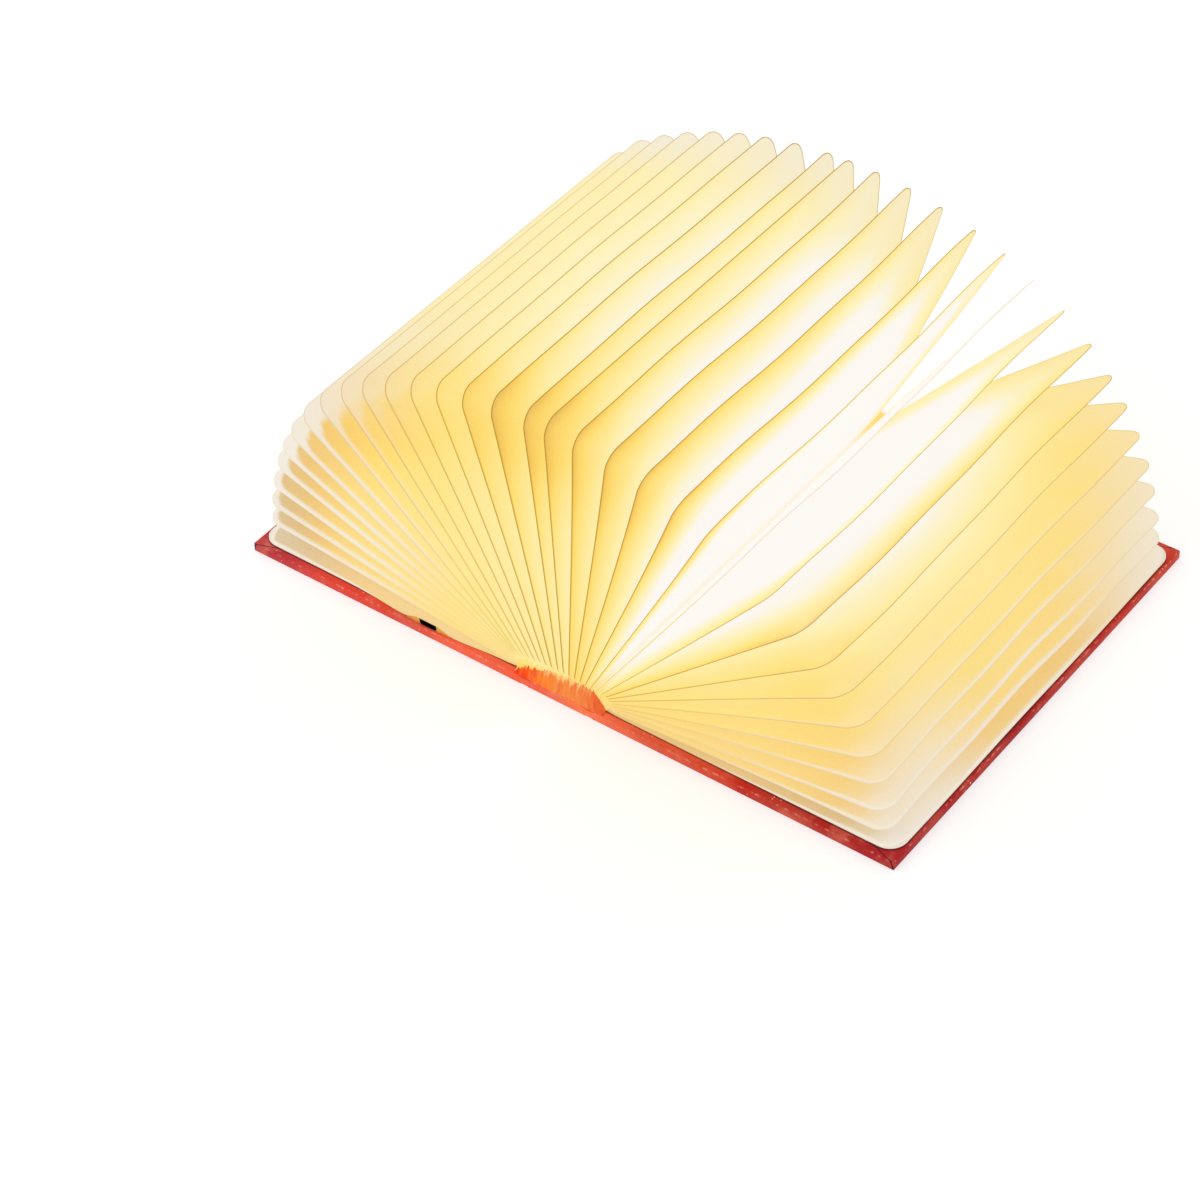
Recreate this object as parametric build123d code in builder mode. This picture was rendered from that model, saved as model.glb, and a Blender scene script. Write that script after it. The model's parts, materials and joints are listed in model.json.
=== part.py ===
from build123d import *

import math
import os

# A folding paper book lamp, open flat on the table with its leaves fanned out.
# Origin: middle of the underside. X runs across the open book, Y along the spine, Z up.
# The two covers fold up about the hinge lines, and the leaves close up with them.

# Book case
book_length = 215.0
cover_depth = 149.3  # hinge line to fore-edge
hinge_line_x = 14.2  # the covers turn about lines this far from the middle
hinge_slack = 0.2  # free width of the fold on each side of the hinge line
hinge_strip_width = 4.4  # bare wrap between the hinge fold and the edge of a cover's board
board_thickness = 3.6
wrap_thickness = 0.4
turn_in = 4.0  # how far the wrap is folded over the inner face
wrap_edge_radius = 0.35
endpaper_thickness = 0.4

# Leaves
left_leans = (3.4, 9.4, 14.8, 19.7, 24.7, 30.0, 34.9, 39.9, 46.8, 53.4, 59.6, 64.9, 69.6, 75.1, 79.9, 84.3)
right_leans = (5.0, 10.8, 16.7, 23.0, 28.7, 34.5, 41.2, 48.2, 54.7, 60.3, 66.0, 71.7, 76.6, 81.9, 87.3)
leaf_margin = 3.5  # cover beyond the leaves at the front and the back
leaf_corner = 8.0
leaf_thickness = 0.24
closed_overhang = 4.5  # cover beyond the closed leaves
open_overhang = 5.1  # cover beyond the flyleaves and the reach of the fan
root_height = 9.2  # roots of the closed leaves, and of the middle leaf
lowest_root_height = 5.6
closed_pitch = 0.475
middle_leaf_x = 1.85  # the tray on the left cover pushes the closed block to the right

# Flyleaves
flyleaf_start_x = 24.5
flyleaf_thickness = 0.25
flyleaf_lift = 0.3
flyleaf_notch_gap = 0.4

# Root cloth and spine lining
cloth_thickness = 0.25
cloth_gap = 0.25  # between the cloth and the leaf roots on it
lining_thickness = 0.4

# Light bar
bar_width = 11.0
bar_margin = 9.5  # spine beyond the light bar at the front and the back
bar_height = 3.4
bar_wall = 0.8
led_board_thickness = 1.0
led_size = 2.8
led_height = 0.7
led_pitch = 8.0
diffuser_thickness = 0.8
diffuser_rib = 0.7

# Electronics tray, half sunk into the left cover
tray_center_x = 68.0
tray_width = 23.0
tray_setback = 1.5  # its front stands this far behind the cover's front edge
tray_sunk = 0.8
tray_floor = 0.4
tray_wall = 0.8
tray_headroom = 0.1
lid_thickness = 0.35
control_board_length = 20.0
control_board_thickness = 0.8
battery_length = 52.0
battery_thickness = 2.6
battery_corner = 2.0
wire_space = 1.8
fit_gap = 0.2
sensor_size = 3.0
sensor_height = 1.0

# USB-C socket
socket_width = 8.94
socket_height = 3.2
socket_depth = 7.3
socket_wall = 0.3
tongue_width = 6.7
tongue_thickness = 0.7
tongue_length = 4.6

# Ribbon cable
ribbon_width = 5.0
ribbon_thickness = 0.2
ribbon_gap = 0.05
ribbon_setback = 9.4  # in front of the battery's back end
ribbon_bend_start_x = 24.3

# Switch magnet
magnet_radius = 3.0
magnet_thickness = 2.0

# Values that follow
board_bottom = wrap_thickness
board_top = board_bottom + board_thickness
cover_top = board_top + wrap_thickness
hinge_height = wrap_thickness / 2
fore_edge_x = hinge_line_x + cover_depth
wrap_start_x = hinge_line_x + hinge_slack
board_start_x = wrap_start_x + hinge_strip_width
board_end_x = fore_edge_x - wrap_thickness
board_length_y = book_length - 2 * wrap_thickness
spine_half = hinge_line_x - hinge_slack
window_end_x = fore_edge_x - turn_in
window_length = book_length - 2 * turn_in
leaf_length = book_length - 2 * leaf_margin
leaf_reach = fore_edge_x - open_overhang
leaf_depth = hinge_height + cover_depth - closed_overhang - root_height
root_spread = leaf_reach - leaf_depth
shoulder_radius = root_height - lowest_root_height
shoulder_x = root_spread - shoulder_radius
lining_top = board_top + lining_thickness
bar_top = lining_top + bar_height
bar_length = book_length - 2 * bar_margin
led_board_length = bar_length - 2 * (bar_wall + fit_gap)
led_count = int(led_board_length // led_pitch)
led_board_z = lining_top + bar_wall
tray_bottom = cover_top - tray_sunk
tray_inner_z = tray_bottom + tray_floor
tray_rim = tray_inner_z + socket_height + tray_headroom
tray_top = tray_rim + lid_thickness
tray_front_y = -book_length / 2 + tray_setback
tray_inner_length = control_board_length + battery_length + 3 * fit_gap + wire_space
tray_length = tray_inner_length + 2 * tray_wall
tray_middle_y = tray_front_y + tray_length / 2
tray_inner_width = tray_width - 2 * tray_wall
socket_z = (tray_inner_z + tray_rim) / 2
control_board_width = tray_inner_width - 2 * fit_gap
control_board_y = tray_front_y + tray_wall + fit_gap
battery_y = control_board_y + control_board_length + 2 * fit_gap
flyleaf_z = cover_top + flyleaf_lift

SIDES = {"right": 1, "left": -1}
LEANS = {1: right_leans, -1: left_leans}

os.makedirs("parts", exist_ok=True)


def keep(part, name):
    """Label a finished piece and write it to its own file."""
    part.label = name
    export_step(part, f"parts/{name}.step")


def leaf_tilt(number, side):
    """Lean of a leaf from upright, in degrees, by its count from the middle."""
    return LEANS[side][number - 1] if number else 0.0


def leaf_root(number, side):
    """Root of a leaf: the inner half of them on the flat, the outer half round the shoulder."""
    share = 2 * number / len(LEANS[side])
    if share <= 1:
        return middle_leaf_x + (side * shoulder_x - middle_leaf_x) * share, root_height
    turn = (share - 1) * math.pi / 2
    root_x = side * (shoulder_x + shoulder_radius * math.sin(turn))
    return root_x, lowest_root_height + shoulder_radius * math.cos(turn)


# Spine
with BuildPart() as spine_board:
    with Locations((0, 0, board_bottom)):
        Box(2 * spine_half, board_length_y, board_thickness, align=(Align.CENTER, Align.CENTER, Align.MIN))
keep(spine_board.part, "spine_board")

with BuildPart() as spine_wrap:
    with BuildSketch(Plane.YZ):
        with Locations((0, cover_top / 2)):
            RectangleRounded(book_length, cover_top, wrap_edge_radius)
            Rectangle(board_length_y, board_thickness, mode=Mode.SUBTRACT)
        with Locations((0, board_top)):
            Rectangle(window_length, wrap_thickness, align=(Align.CENTER, Align.MIN), mode=Mode.SUBTRACT)
    extrude(amount=spine_half, both=True)
keep(spine_wrap.part, "spine_wrap")

with BuildPart() as spine_lining:
    with Locations((0, 0, board_top)):
        Box(2 * spine_half, window_length, lining_thickness, align=(Align.CENTER, Align.CENTER, Align.MIN))
keep(spine_lining.part, "spine_lining")

# Light bar on the spine, under the leaf roots
with BuildPart() as light_channel:
    with BuildSketch(Plane.XY.offset(lining_top)):
        Rectangle(bar_width, bar_length)
    extrude(amount=bar_height)
    with BuildSketch(Plane.XY.offset(led_board_z)):
        Rectangle(bar_width - 2 * bar_wall, bar_length - 2 * bar_wall)
    extrude(amount=bar_height, mode=Mode.SUBTRACT)
keep(light_channel.part, "light_channel")

with BuildPart() as led_board:
    with BuildSketch(Plane.XY.offset(led_board_z)):
        Rectangle(bar_width - 2 * (bar_wall + fit_gap), led_board_length)
    extrude(amount=led_board_thickness)
keep(led_board.part, "led_board")

with BuildPart() as leds:
    with BuildSketch(Plane.XY.offset(led_board_z + led_board_thickness)):
        with GridLocations(led_size, led_pitch, 1, led_count):
            Rectangle(led_size, led_size)
    extrude(amount=led_height)
keep(leds.part, "leds")

with BuildPart() as light_diffuser:
    with BuildSketch(Plane.XY.offset(bar_top)):
        Rectangle(bar_width, bar_length)
    extrude(amount=diffuser_thickness)
    fillet(light_diffuser.faces().sort_by(Axis.Z)[-1].edges().filter_by(Axis.Y), diffuser_thickness / 2)
    with BuildSketch(Plane.XY.offset(bar_top)):
        with GridLocations(bar_width - 2 * bar_wall - diffuser_rib - 2 * fit_gap, 1, 2, 1):
            Rectangle(diffuser_rib, led_board_length)
    extrude(amount=-diffuser_rib)
keep(light_diffuser.part, "light_diffuser")

# Root cloth: one strip each side, flat from the light bar outward and rounded down to the cover
cloth_outer_radius = shoulder_radius - cloth_gap - leaf_thickness / 2
cloth_inner_radius = cloth_outer_radius - cloth_thickness
cloth_start_x = bar_width / 2 + fit_gap
for name, side in SIDES.items():
    with BuildPart() as root_cloth:
        with BuildSketch(Plane.XZ):
            with BuildLine():
                flat_top = Line(
                    (side * cloth_start_x, lowest_root_height + cloth_outer_radius),
                    (side * shoulder_x, lowest_root_height + cloth_outer_radius),
                )
                outer_round = JernArc(flat_top @ 1, (side, 0), cloth_outer_radius, -90 * side)
                lower_end = Line(outer_round @ 1, outer_round @ 1 - Vector(side * cloth_thickness, 0))
                inner_round = JernArc(lower_end @ 1, (0, 1), cloth_inner_radius, 90 * side)
                inner_end = Line(flat_top @ 0, flat_top @ 0 - Vector(0, cloth_thickness))
                Line(inner_round @ 1, inner_end @ 1)
            make_face()
        extrude(amount=window_length / 2, both=True)
    keep(root_cloth.part, f"{name}_root_cloth")

# Covers
cover_middle_x = (board_start_x + board_end_x) / 2
window_middle_x = (board_start_x + window_end_x) / 2
for name, side in SIDES.items():
    with BuildPart() as cover_board:
        with BuildSketch(Plane.XY.offset(board_bottom)):
            with Locations((side * cover_middle_x, 0)):
                Rectangle(board_end_x - board_start_x, board_length_y)
        extrude(amount=board_thickness)
        if name == "left":
            with BuildSketch(Plane.XY.offset(tray_bottom)):
                with Locations((-tray_center_x, tray_middle_y)):
                    Rectangle(tray_width, tray_length)
            extrude(amount=tray_sunk, mode=Mode.SUBTRACT)
        else:
            with BuildSketch(Plane.XY.offset(board_top)):
                with Locations((tray_center_x, tray_middle_y)):
                    Circle(magnet_radius)
            extrude(amount=-magnet_thickness, mode=Mode.SUBTRACT)
    keep(cover_board.part, f"{name}_cover_board")

    with BuildPart() as cover_wrap:
        with BuildSketch(Plane.XY):
            with Locations((side * (fore_edge_x + board_start_x) / 2, 0)):
                Rectangle(fore_edge_x - board_start_x, book_length)
        extrude(amount=cover_top)
        fillet(cover_wrap.edges().filter_by(Axis.Y).group_by(Axis.X)[-1 if side > 0 else 0], wrap_edge_radius)
        fillet(cover_wrap.edges().filter_by(Axis.X), wrap_edge_radius)
        with BuildSketch(Plane.XY.offset(board_bottom)):
            with Locations((side * cover_middle_x, 0)):
                Rectangle(board_end_x - board_start_x, board_length_y)
        extrude(amount=board_thickness, mode=Mode.SUBTRACT)
        with BuildSketch(Plane.XY.offset(board_top)):
            with Locations((side * window_middle_x, 0)):
                Rectangle(window_end_x - board_start_x, window_length)
        extrude(amount=wrap_thickness, mode=Mode.SUBTRACT)
        with BuildSketch(Plane.XY):
            with Locations((side * (wrap_start_x + board_start_x) / 2, 0)):
                Rectangle(hinge_strip_width, book_length)
        extrude(amount=wrap_thickness)
        if name == "left":
            with BuildSketch(Plane.XY.offset(tray_bottom)):
                with Locations((-tray_center_x, tray_middle_y)):
                    Rectangle(tray_width, tray_length)
            extrude(amount=cover_top, mode=Mode.SUBTRACT)
    keep(cover_wrap.part, f"{name}_cover_wrap")

    with BuildPart() as endpaper:
        with BuildSketch(Plane.XY.offset(board_top)):
            with Locations((side * window_middle_x, 0)):
                Rectangle(window_end_x - board_start_x, window_length)
            if name == "left":
                with Locations((-tray_center_x, tray_middle_y)):
                    Rectangle(tray_width, tray_length, mode=Mode.SUBTRACT)
        extrude(amount=endpaper_thickness)
    keep(endpaper.part, f"{name}_endpaper")

    with BuildPart() as flyleaf:
        with BuildSketch(Plane.XY.offset(flyleaf_z)) as flyleaf_outline:
            with Locations((side * (flyleaf_start_x + leaf_reach) / 2, 0)):
                Rectangle(leaf_reach - flyleaf_start_x, leaf_length)
            fore_corners = flyleaf_outline.vertices().group_by(Axis.X)[-1 if side > 0 else 0]
            fillet(fore_corners, leaf_corner)
            if name == "left":
                with Locations((-tray_center_x, tray_middle_y)):
                    Rectangle(tray_width + 2 * flyleaf_notch_gap, tray_length + 2 * flyleaf_notch_gap,
                              mode=Mode.SUBTRACT)
        extrude(amount=flyleaf_thickness)
    keep(flyleaf.part, f"{name}_flyleaf")

with BuildPart() as switch_magnet:
    with BuildSketch(Plane.XY.offset(board_top)):
        with Locations((tray_center_x, tray_middle_y)):
            Circle(magnet_radius)
    extrude(amount=-magnet_thickness)
keep(switch_magnet.part, "switch_magnet")

# Electronics tray
with BuildPart() as electronics_tray:
    with BuildSketch(Plane.XY.offset(tray_bottom)):
        with Locations((-tray_center_x, tray_middle_y)):
            Rectangle(tray_width, tray_length)
    extrude(amount=tray_rim - tray_bottom)
    with BuildSketch(Plane.XY.offset(tray_inner_z)):
        with Locations((-tray_center_x, tray_middle_y)):
            Rectangle(tray_inner_width, tray_inner_length)
    extrude(amount=tray_rim - tray_inner_z, mode=Mode.SUBTRACT)
    with BuildSketch(Plane.XZ.offset(-tray_front_y)):
        with Locations((-tray_center_x, socket_z)):
            SlotOverall(socket_width + fit_gap, socket_height + tray_headroom)
            Rectangle(socket_width + fit_gap, tray_rim - socket_z, align=(Align.CENTER, Align.MIN))
    extrude(amount=-tray_wall, mode=Mode.SUBTRACT)
keep(electronics_tray.part, "electronics_tray")

with BuildPart() as tray_lid:
    with BuildSketch(Plane.XY.offset(tray_rim)):
        with Locations((-tray_center_x, tray_middle_y)):
            Rectangle(tray_width, tray_length)
    extrude(amount=lid_thickness)
keep(tray_lid.part, "tray_lid")

with BuildPart() as control_board:
    with BuildSketch(Plane.XY.offset(tray_inner_z)):
        with Locations((-tray_center_x, control_board_y)):
            Rectangle(control_board_width, control_board_length, align=(Align.CENTER, Align.MIN))
            Rectangle(socket_width + 2 * fit_gap, tray_front_y + socket_depth + fit_gap - control_board_y,
                      align=(Align.CENTER, Align.MIN), mode=Mode.SUBTRACT)
    extrude(amount=control_board_thickness)
keep(control_board.part, "control_board")

with BuildPart() as position_sensor:
    with BuildSketch(Plane.XY.offset(tray_inner_z + control_board_thickness)):
        with Locations((-tray_center_x, control_board_y + control_board_length - sensor_size)):
            Rectangle(sensor_size, sensor_size)
    extrude(amount=sensor_height)
keep(position_sensor.part, "position_sensor")

with BuildPart() as battery_cell:
    with BuildSketch(Plane.XY.offset(tray_inner_z)):
        with Locations((-tray_center_x, battery_y + battery_length / 2)):
            RectangleRounded(tray_inner_width - 4 * fit_gap, battery_length, battery_corner)
    extrude(amount=battery_thickness)
keep(battery_cell.part, "battery_cell")

# USB-C socket: a bent steel shell round a contact tongue
with BuildPart() as socket_shell:
    with BuildSketch(Plane.XZ.offset(-tray_front_y)):
        with Locations((-tray_center_x, socket_z)):
            SlotOverall(socket_width, socket_height)
    extrude(amount=-socket_depth)
    with BuildSketch(Plane.XZ.offset(-tray_front_y)):
        with Locations((-tray_center_x, socket_z)):
            SlotOverall(socket_width - 2 * socket_wall, socket_height - 2 * socket_wall)
    extrude(amount=-(socket_depth - socket_wall), mode=Mode.SUBTRACT)
keep(socket_shell.part, "usb_socket_shell")

with BuildPart() as socket_tongue:
    with BuildSketch(Plane.XZ.offset(-(tray_front_y + socket_depth - socket_wall))):
        with Locations((-tray_center_x, socket_z)):
            Rectangle(tongue_width, tongue_thickness)
    extrude(amount=tongue_length)
keep(socket_tongue.part, "usb_socket_tongue")

# Ribbon cable: flat on the left cover, then one loose stretch over the hinge to the light bar
ribbon_bottom = cover_top + ribbon_gap
ribbon_y = battery_y + battery_length - ribbon_setback
tray_inner_edge_x = tray_center_x - tray_width / 2
ribbon_stretches = {
    "cover_ribbon": (tray_inner_edge_x, ribbon_bend_start_x + fit_gap),
    "hinge_ribbon": (ribbon_bend_start_x, bar_width / 2),
}
for name, (outer_x, inner_x) in ribbon_stretches.items():
    with BuildPart() as ribbon:
        with BuildSketch(Plane.XY.offset(ribbon_bottom)):
            with Locations((-(outer_x + inner_x) / 2, ribbon_y)):
                Rectangle(outer_x - inner_x, ribbon_width)
        extrude(amount=ribbon_thickness)
    keep(ribbon.part, name)

# Leaves: each a sheet doubled at the fore-edge, rounded at its two outer corners
for count in range(-len(left_leans), len(right_leans) + 1):
    side = 1 if count >= 0 else -1
    tilt = math.radians(side * leaf_tilt(abs(count), side))
    root_x, root_z = leaf_root(abs(count), side)
    leaf_plane = Plane(
        origin=(root_x, 0, root_z),
        x_dir=(math.sin(tilt), 0, math.cos(tilt)),
        z_dir=(math.cos(tilt), 0, -math.sin(tilt)),
    )
    with BuildPart() as page:
        with BuildSketch(leaf_plane) as page_outline:
            with Locations((leaf_depth / 2, 0)):
                Rectangle(leaf_depth, leaf_length)
            fillet(page_outline.vertices().group_by(Axis.X)[-1], leaf_corner)
        extrude(amount=leaf_thickness / 2, both=True)
    keep(page.part, f"page_{count + len(left_leans) + 1:02d}")
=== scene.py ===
"""A folding paper book lamp, open flat with its lit leaves fanned out over the spine.

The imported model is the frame. The leaves, flyleaves, endpapers, root cloths, printed case and hinge
cable are new pieces that stand for its plain solids. The caps and tongues of cloth, the hinge papers
and the foil are added. The other nodes keep their shapes and get their finishes here.
"""

import json
import logging
import math
from collections.abc import Sequence
from dataclasses import dataclass, field
from enum import Enum

import bpy
import numpy as np
from mathutils import Matrix, Vector


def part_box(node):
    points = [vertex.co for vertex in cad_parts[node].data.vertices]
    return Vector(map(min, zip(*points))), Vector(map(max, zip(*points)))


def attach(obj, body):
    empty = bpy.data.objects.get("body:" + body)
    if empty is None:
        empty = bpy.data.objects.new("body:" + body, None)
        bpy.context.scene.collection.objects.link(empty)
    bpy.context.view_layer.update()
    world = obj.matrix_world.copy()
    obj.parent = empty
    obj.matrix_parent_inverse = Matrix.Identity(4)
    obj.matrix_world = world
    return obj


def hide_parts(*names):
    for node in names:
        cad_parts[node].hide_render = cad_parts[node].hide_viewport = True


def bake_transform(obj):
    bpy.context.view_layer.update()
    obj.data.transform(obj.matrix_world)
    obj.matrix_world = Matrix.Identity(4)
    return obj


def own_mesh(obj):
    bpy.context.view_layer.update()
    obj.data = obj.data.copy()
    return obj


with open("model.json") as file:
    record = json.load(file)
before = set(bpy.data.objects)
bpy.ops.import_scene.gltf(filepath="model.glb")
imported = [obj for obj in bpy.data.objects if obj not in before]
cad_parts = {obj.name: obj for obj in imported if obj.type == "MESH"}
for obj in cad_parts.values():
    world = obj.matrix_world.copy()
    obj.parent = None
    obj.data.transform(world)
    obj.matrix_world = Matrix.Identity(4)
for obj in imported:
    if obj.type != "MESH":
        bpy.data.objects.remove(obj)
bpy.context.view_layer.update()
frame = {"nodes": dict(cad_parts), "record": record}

MM = 0.001
log = logging.getLogger("book_lamp")

Socket = bpy.types.NodeSocket
Piece = bpy.types.Object


class Side(Enum):
    """Which half of the open book a piece belongs to."""

    LEFT = -1
    RIGHT = 1

    @property
    def word(self) -> str:
        """The side's name, as the nodes and bodies use it."""
        return self.name.lower()


# Modelling steps that every piece shares


def deselect_all() -> None:
    """Leave edit mode and select nothing."""
    if bpy.context.object and bpy.context.object.mode != "OBJECT":
        bpy.ops.object.mode_set(mode="OBJECT")
    bpy.ops.object.select_all(action="DESELECT")


def select_only(piece: Piece) -> None:
    """Select one piece and make it the active one.

    Args:
        piece: The piece to work on.
    """
    deselect_all()
    piece.select_set(True)
    bpy.context.view_layer.objects.active = piece


def apply_modifier(piece: Piece, kind: str, **settings: object) -> None:
    """Add a modifier to a piece and apply it.

    Args:
        piece: The mesh object.
        kind: Blender's name for the modifier's type.
        **settings: Values for the modifier's properties.
    """
    select_only(piece)
    modifier = piece.modifiers.new(kind.title(), kind)
    for name, value in settings.items():
        setattr(modifier, name, value)
    bpy.ops.object.modifier_apply(modifier=modifier.name)


def recalculate_normals(piece: Piece) -> None:
    """Turn all of a closed piece's faces outward.

    Args:
        piece: The closed piece.
    """
    select_only(piece)
    bpy.ops.object.mode_set(mode="EDIT")
    bpy.ops.mesh.select_all(action="SELECT")
    bpy.ops.mesh.normals_make_consistent(inside=False)
    bpy.ops.object.mode_set(mode="OBJECT")


def smooth(piece: Piece, degrees: float = 40.0) -> None:
    """Shade a piece smooth up to an angle between its faces."""
    select_only(piece)
    bpy.ops.object.shade_smooth_by_angle(angle=math.radians(degrees))


def thicken(piece: Piece, thickness: float, degrees: float = 40.0) -> None:
    """Give a one-layer piece its thickness, turn it outward and shade it smooth.

    Args:
        piece: The piece, one layer.
        thickness: How thick it becomes, in millimetres, half of it to each side.
        degrees: Angle up to which the shading is smooth.
    """
    apply_modifier(piece, "SOLIDIFY", thickness=thickness * MM, offset=0.0, use_rim=True)
    recalculate_normals(piece)
    smooth(piece, degrees)


def box_of(node: str) -> tuple[Vector, Vector]:
    """A node's lowest and highest corners at rest, in millimetres."""
    low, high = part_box(node)
    return Vector(low) / MM, Vector(high) / MM


def points_of(piece: Piece) -> np.ndarray:
    """Read all vertices of a piece.

    Args:
        piece: A mesh object.

    Returns:
        Rows of x, y, z in metres.
    """
    points = np.zeros(len(piece.data.vertices) * 3)
    piece.data.vertices.foreach_get("co", points)
    return points.reshape(-1, 3)


def move_points(piece: Piece, points: np.ndarray) -> None:
    """Place every vertex of a piece."""
    piece.data.vertices.foreach_set("co", points.ravel())
    piece.data.update()


def write_attribute(piece: Piece, name: str, values: np.ndarray) -> None:
    """Store one number for each vertex of a piece, for its finish to read."""
    attribute = piece.data.attributes.new(name, "FLOAT", "POINT")
    attribute.data.foreach_set("value", values.astype(np.float32))


def add_grid(name: str, across: Sequence[float], along: Sequence[float]) -> tuple[Piece, np.ndarray]:
    """Add a grid whose columns and rows are named by two lists of places.

    Args:
        name: Name of the new piece.
        across: Place of each column, in millimetres.
        along: Place of each row, in millimetres.

    Returns:
        The piece, and for each of its vertices the place across and along.
    """
    deselect_all()
    bpy.ops.mesh.primitive_grid_add(x_subdivisions=len(across) - 1, y_subdivisions=len(along) - 1, size=2)
    piece = bpy.context.object
    piece.name = piece.data.name = name
    square = points_of(piece)
    column = np.rint((square[:, 0] + 1) / 2 * (len(across) - 1)).astype(int)
    row = np.rint((square[:, 1] + 1) / 2 * (len(along) - 1)).astype(int)
    return piece, np.column_stack([np.array(across)[column], np.array(along)[row]])


def add_box(name: str, low: Sequence[float], high: Sequence[float]) -> Piece:
    """Add a box with its place in its mesh.

    Args:
        name: Name of the new piece.
        low: Its lowest corner, in millimetres.
        high: Its highest corner.

    Returns:
        The box.
    """
    deselect_all()
    bpy.ops.mesh.primitive_cube_add(size=1)
    piece = bpy.context.object
    piece.name = piece.data.name = name
    low_corner, high_corner = np.array(low), np.array(high)
    move_points(piece, (low_corner + (points_of(piece) + 0.5) * (high_corner - low_corner)) * MM)
    return piece


def add_profile(name: str, outline: Sequence[tuple[float, float]], along: Sequence[float]) -> Piece:
    """Add a closed bar whose cross-section is an outline in x and z.

    Args:
        name: Name of the new piece.
        outline: The section's corners in order, in millimetres.
        along: Place of each section along y.

    Returns:
        The bar, closed at both ends.
    """
    loop = [*outline, outline[0]]
    piece, lines = add_grid(name, list(range(len(loop))), along)
    corners = np.array(loop)[lines[:, 0].astype(int)]
    move_points(piece, np.column_stack([corners[:, 0], lines[:, 1], corners[:, 1]]) * MM)
    select_only(piece)
    bpy.ops.object.mode_set(mode="EDIT")
    bpy.ops.mesh.select_all(action="SELECT")
    bpy.ops.mesh.remove_doubles(threshold=0.00001)
    bpy.ops.mesh.select_all(action="DESELECT")
    bpy.ops.mesh.select_mode(type="EDGE")
    bpy.ops.mesh.select_non_manifold()
    bpy.ops.mesh.fill_holes(sides=0)
    bpy.ops.object.mode_set(mode="OBJECT")
    recalculate_normals(piece)
    return piece


def join(pieces: Sequence[Piece], name: str) -> Piece:
    """Join pieces into one and name it.

    Args:
        pieces: The pieces to join.
        name: Name of the joined piece.

    Returns:
        The joined piece.
    """
    select_only(pieces[0])
    for piece in pieces:
        piece.select_set(True)
    bpy.ops.object.join()
    joined = bpy.context.object
    joined.name = joined.data.name = name
    return joined


def smoothstep(values: np.ndarray, start: float, end: float) -> np.ndarray:
    """Rise smoothly from 0 at start to 1 at end."""
    share = np.clip((values - start) / (end - start), 0, 1)
    return share * share * (3 - 2 * share)


def linear(hex_colour: str) -> tuple[float, float, float, float]:
    """Turn a display colour into the linear colour that shaders use.

    Args:
        hex_colour: Six digits such as F3C958.

    Returns:
        Red, green, blue and an alpha of 1.
    """
    parts = [int(hex_colour[i : i + 2], 16) / 255 for i in (0, 2, 4)]
    red, green, blue = (p / 12.92 if p <= 0.04045 else ((p + 0.055) / 1.055) ** 2.4 for p in parts)
    return red, green, blue, 1.0


# Finishes


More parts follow.
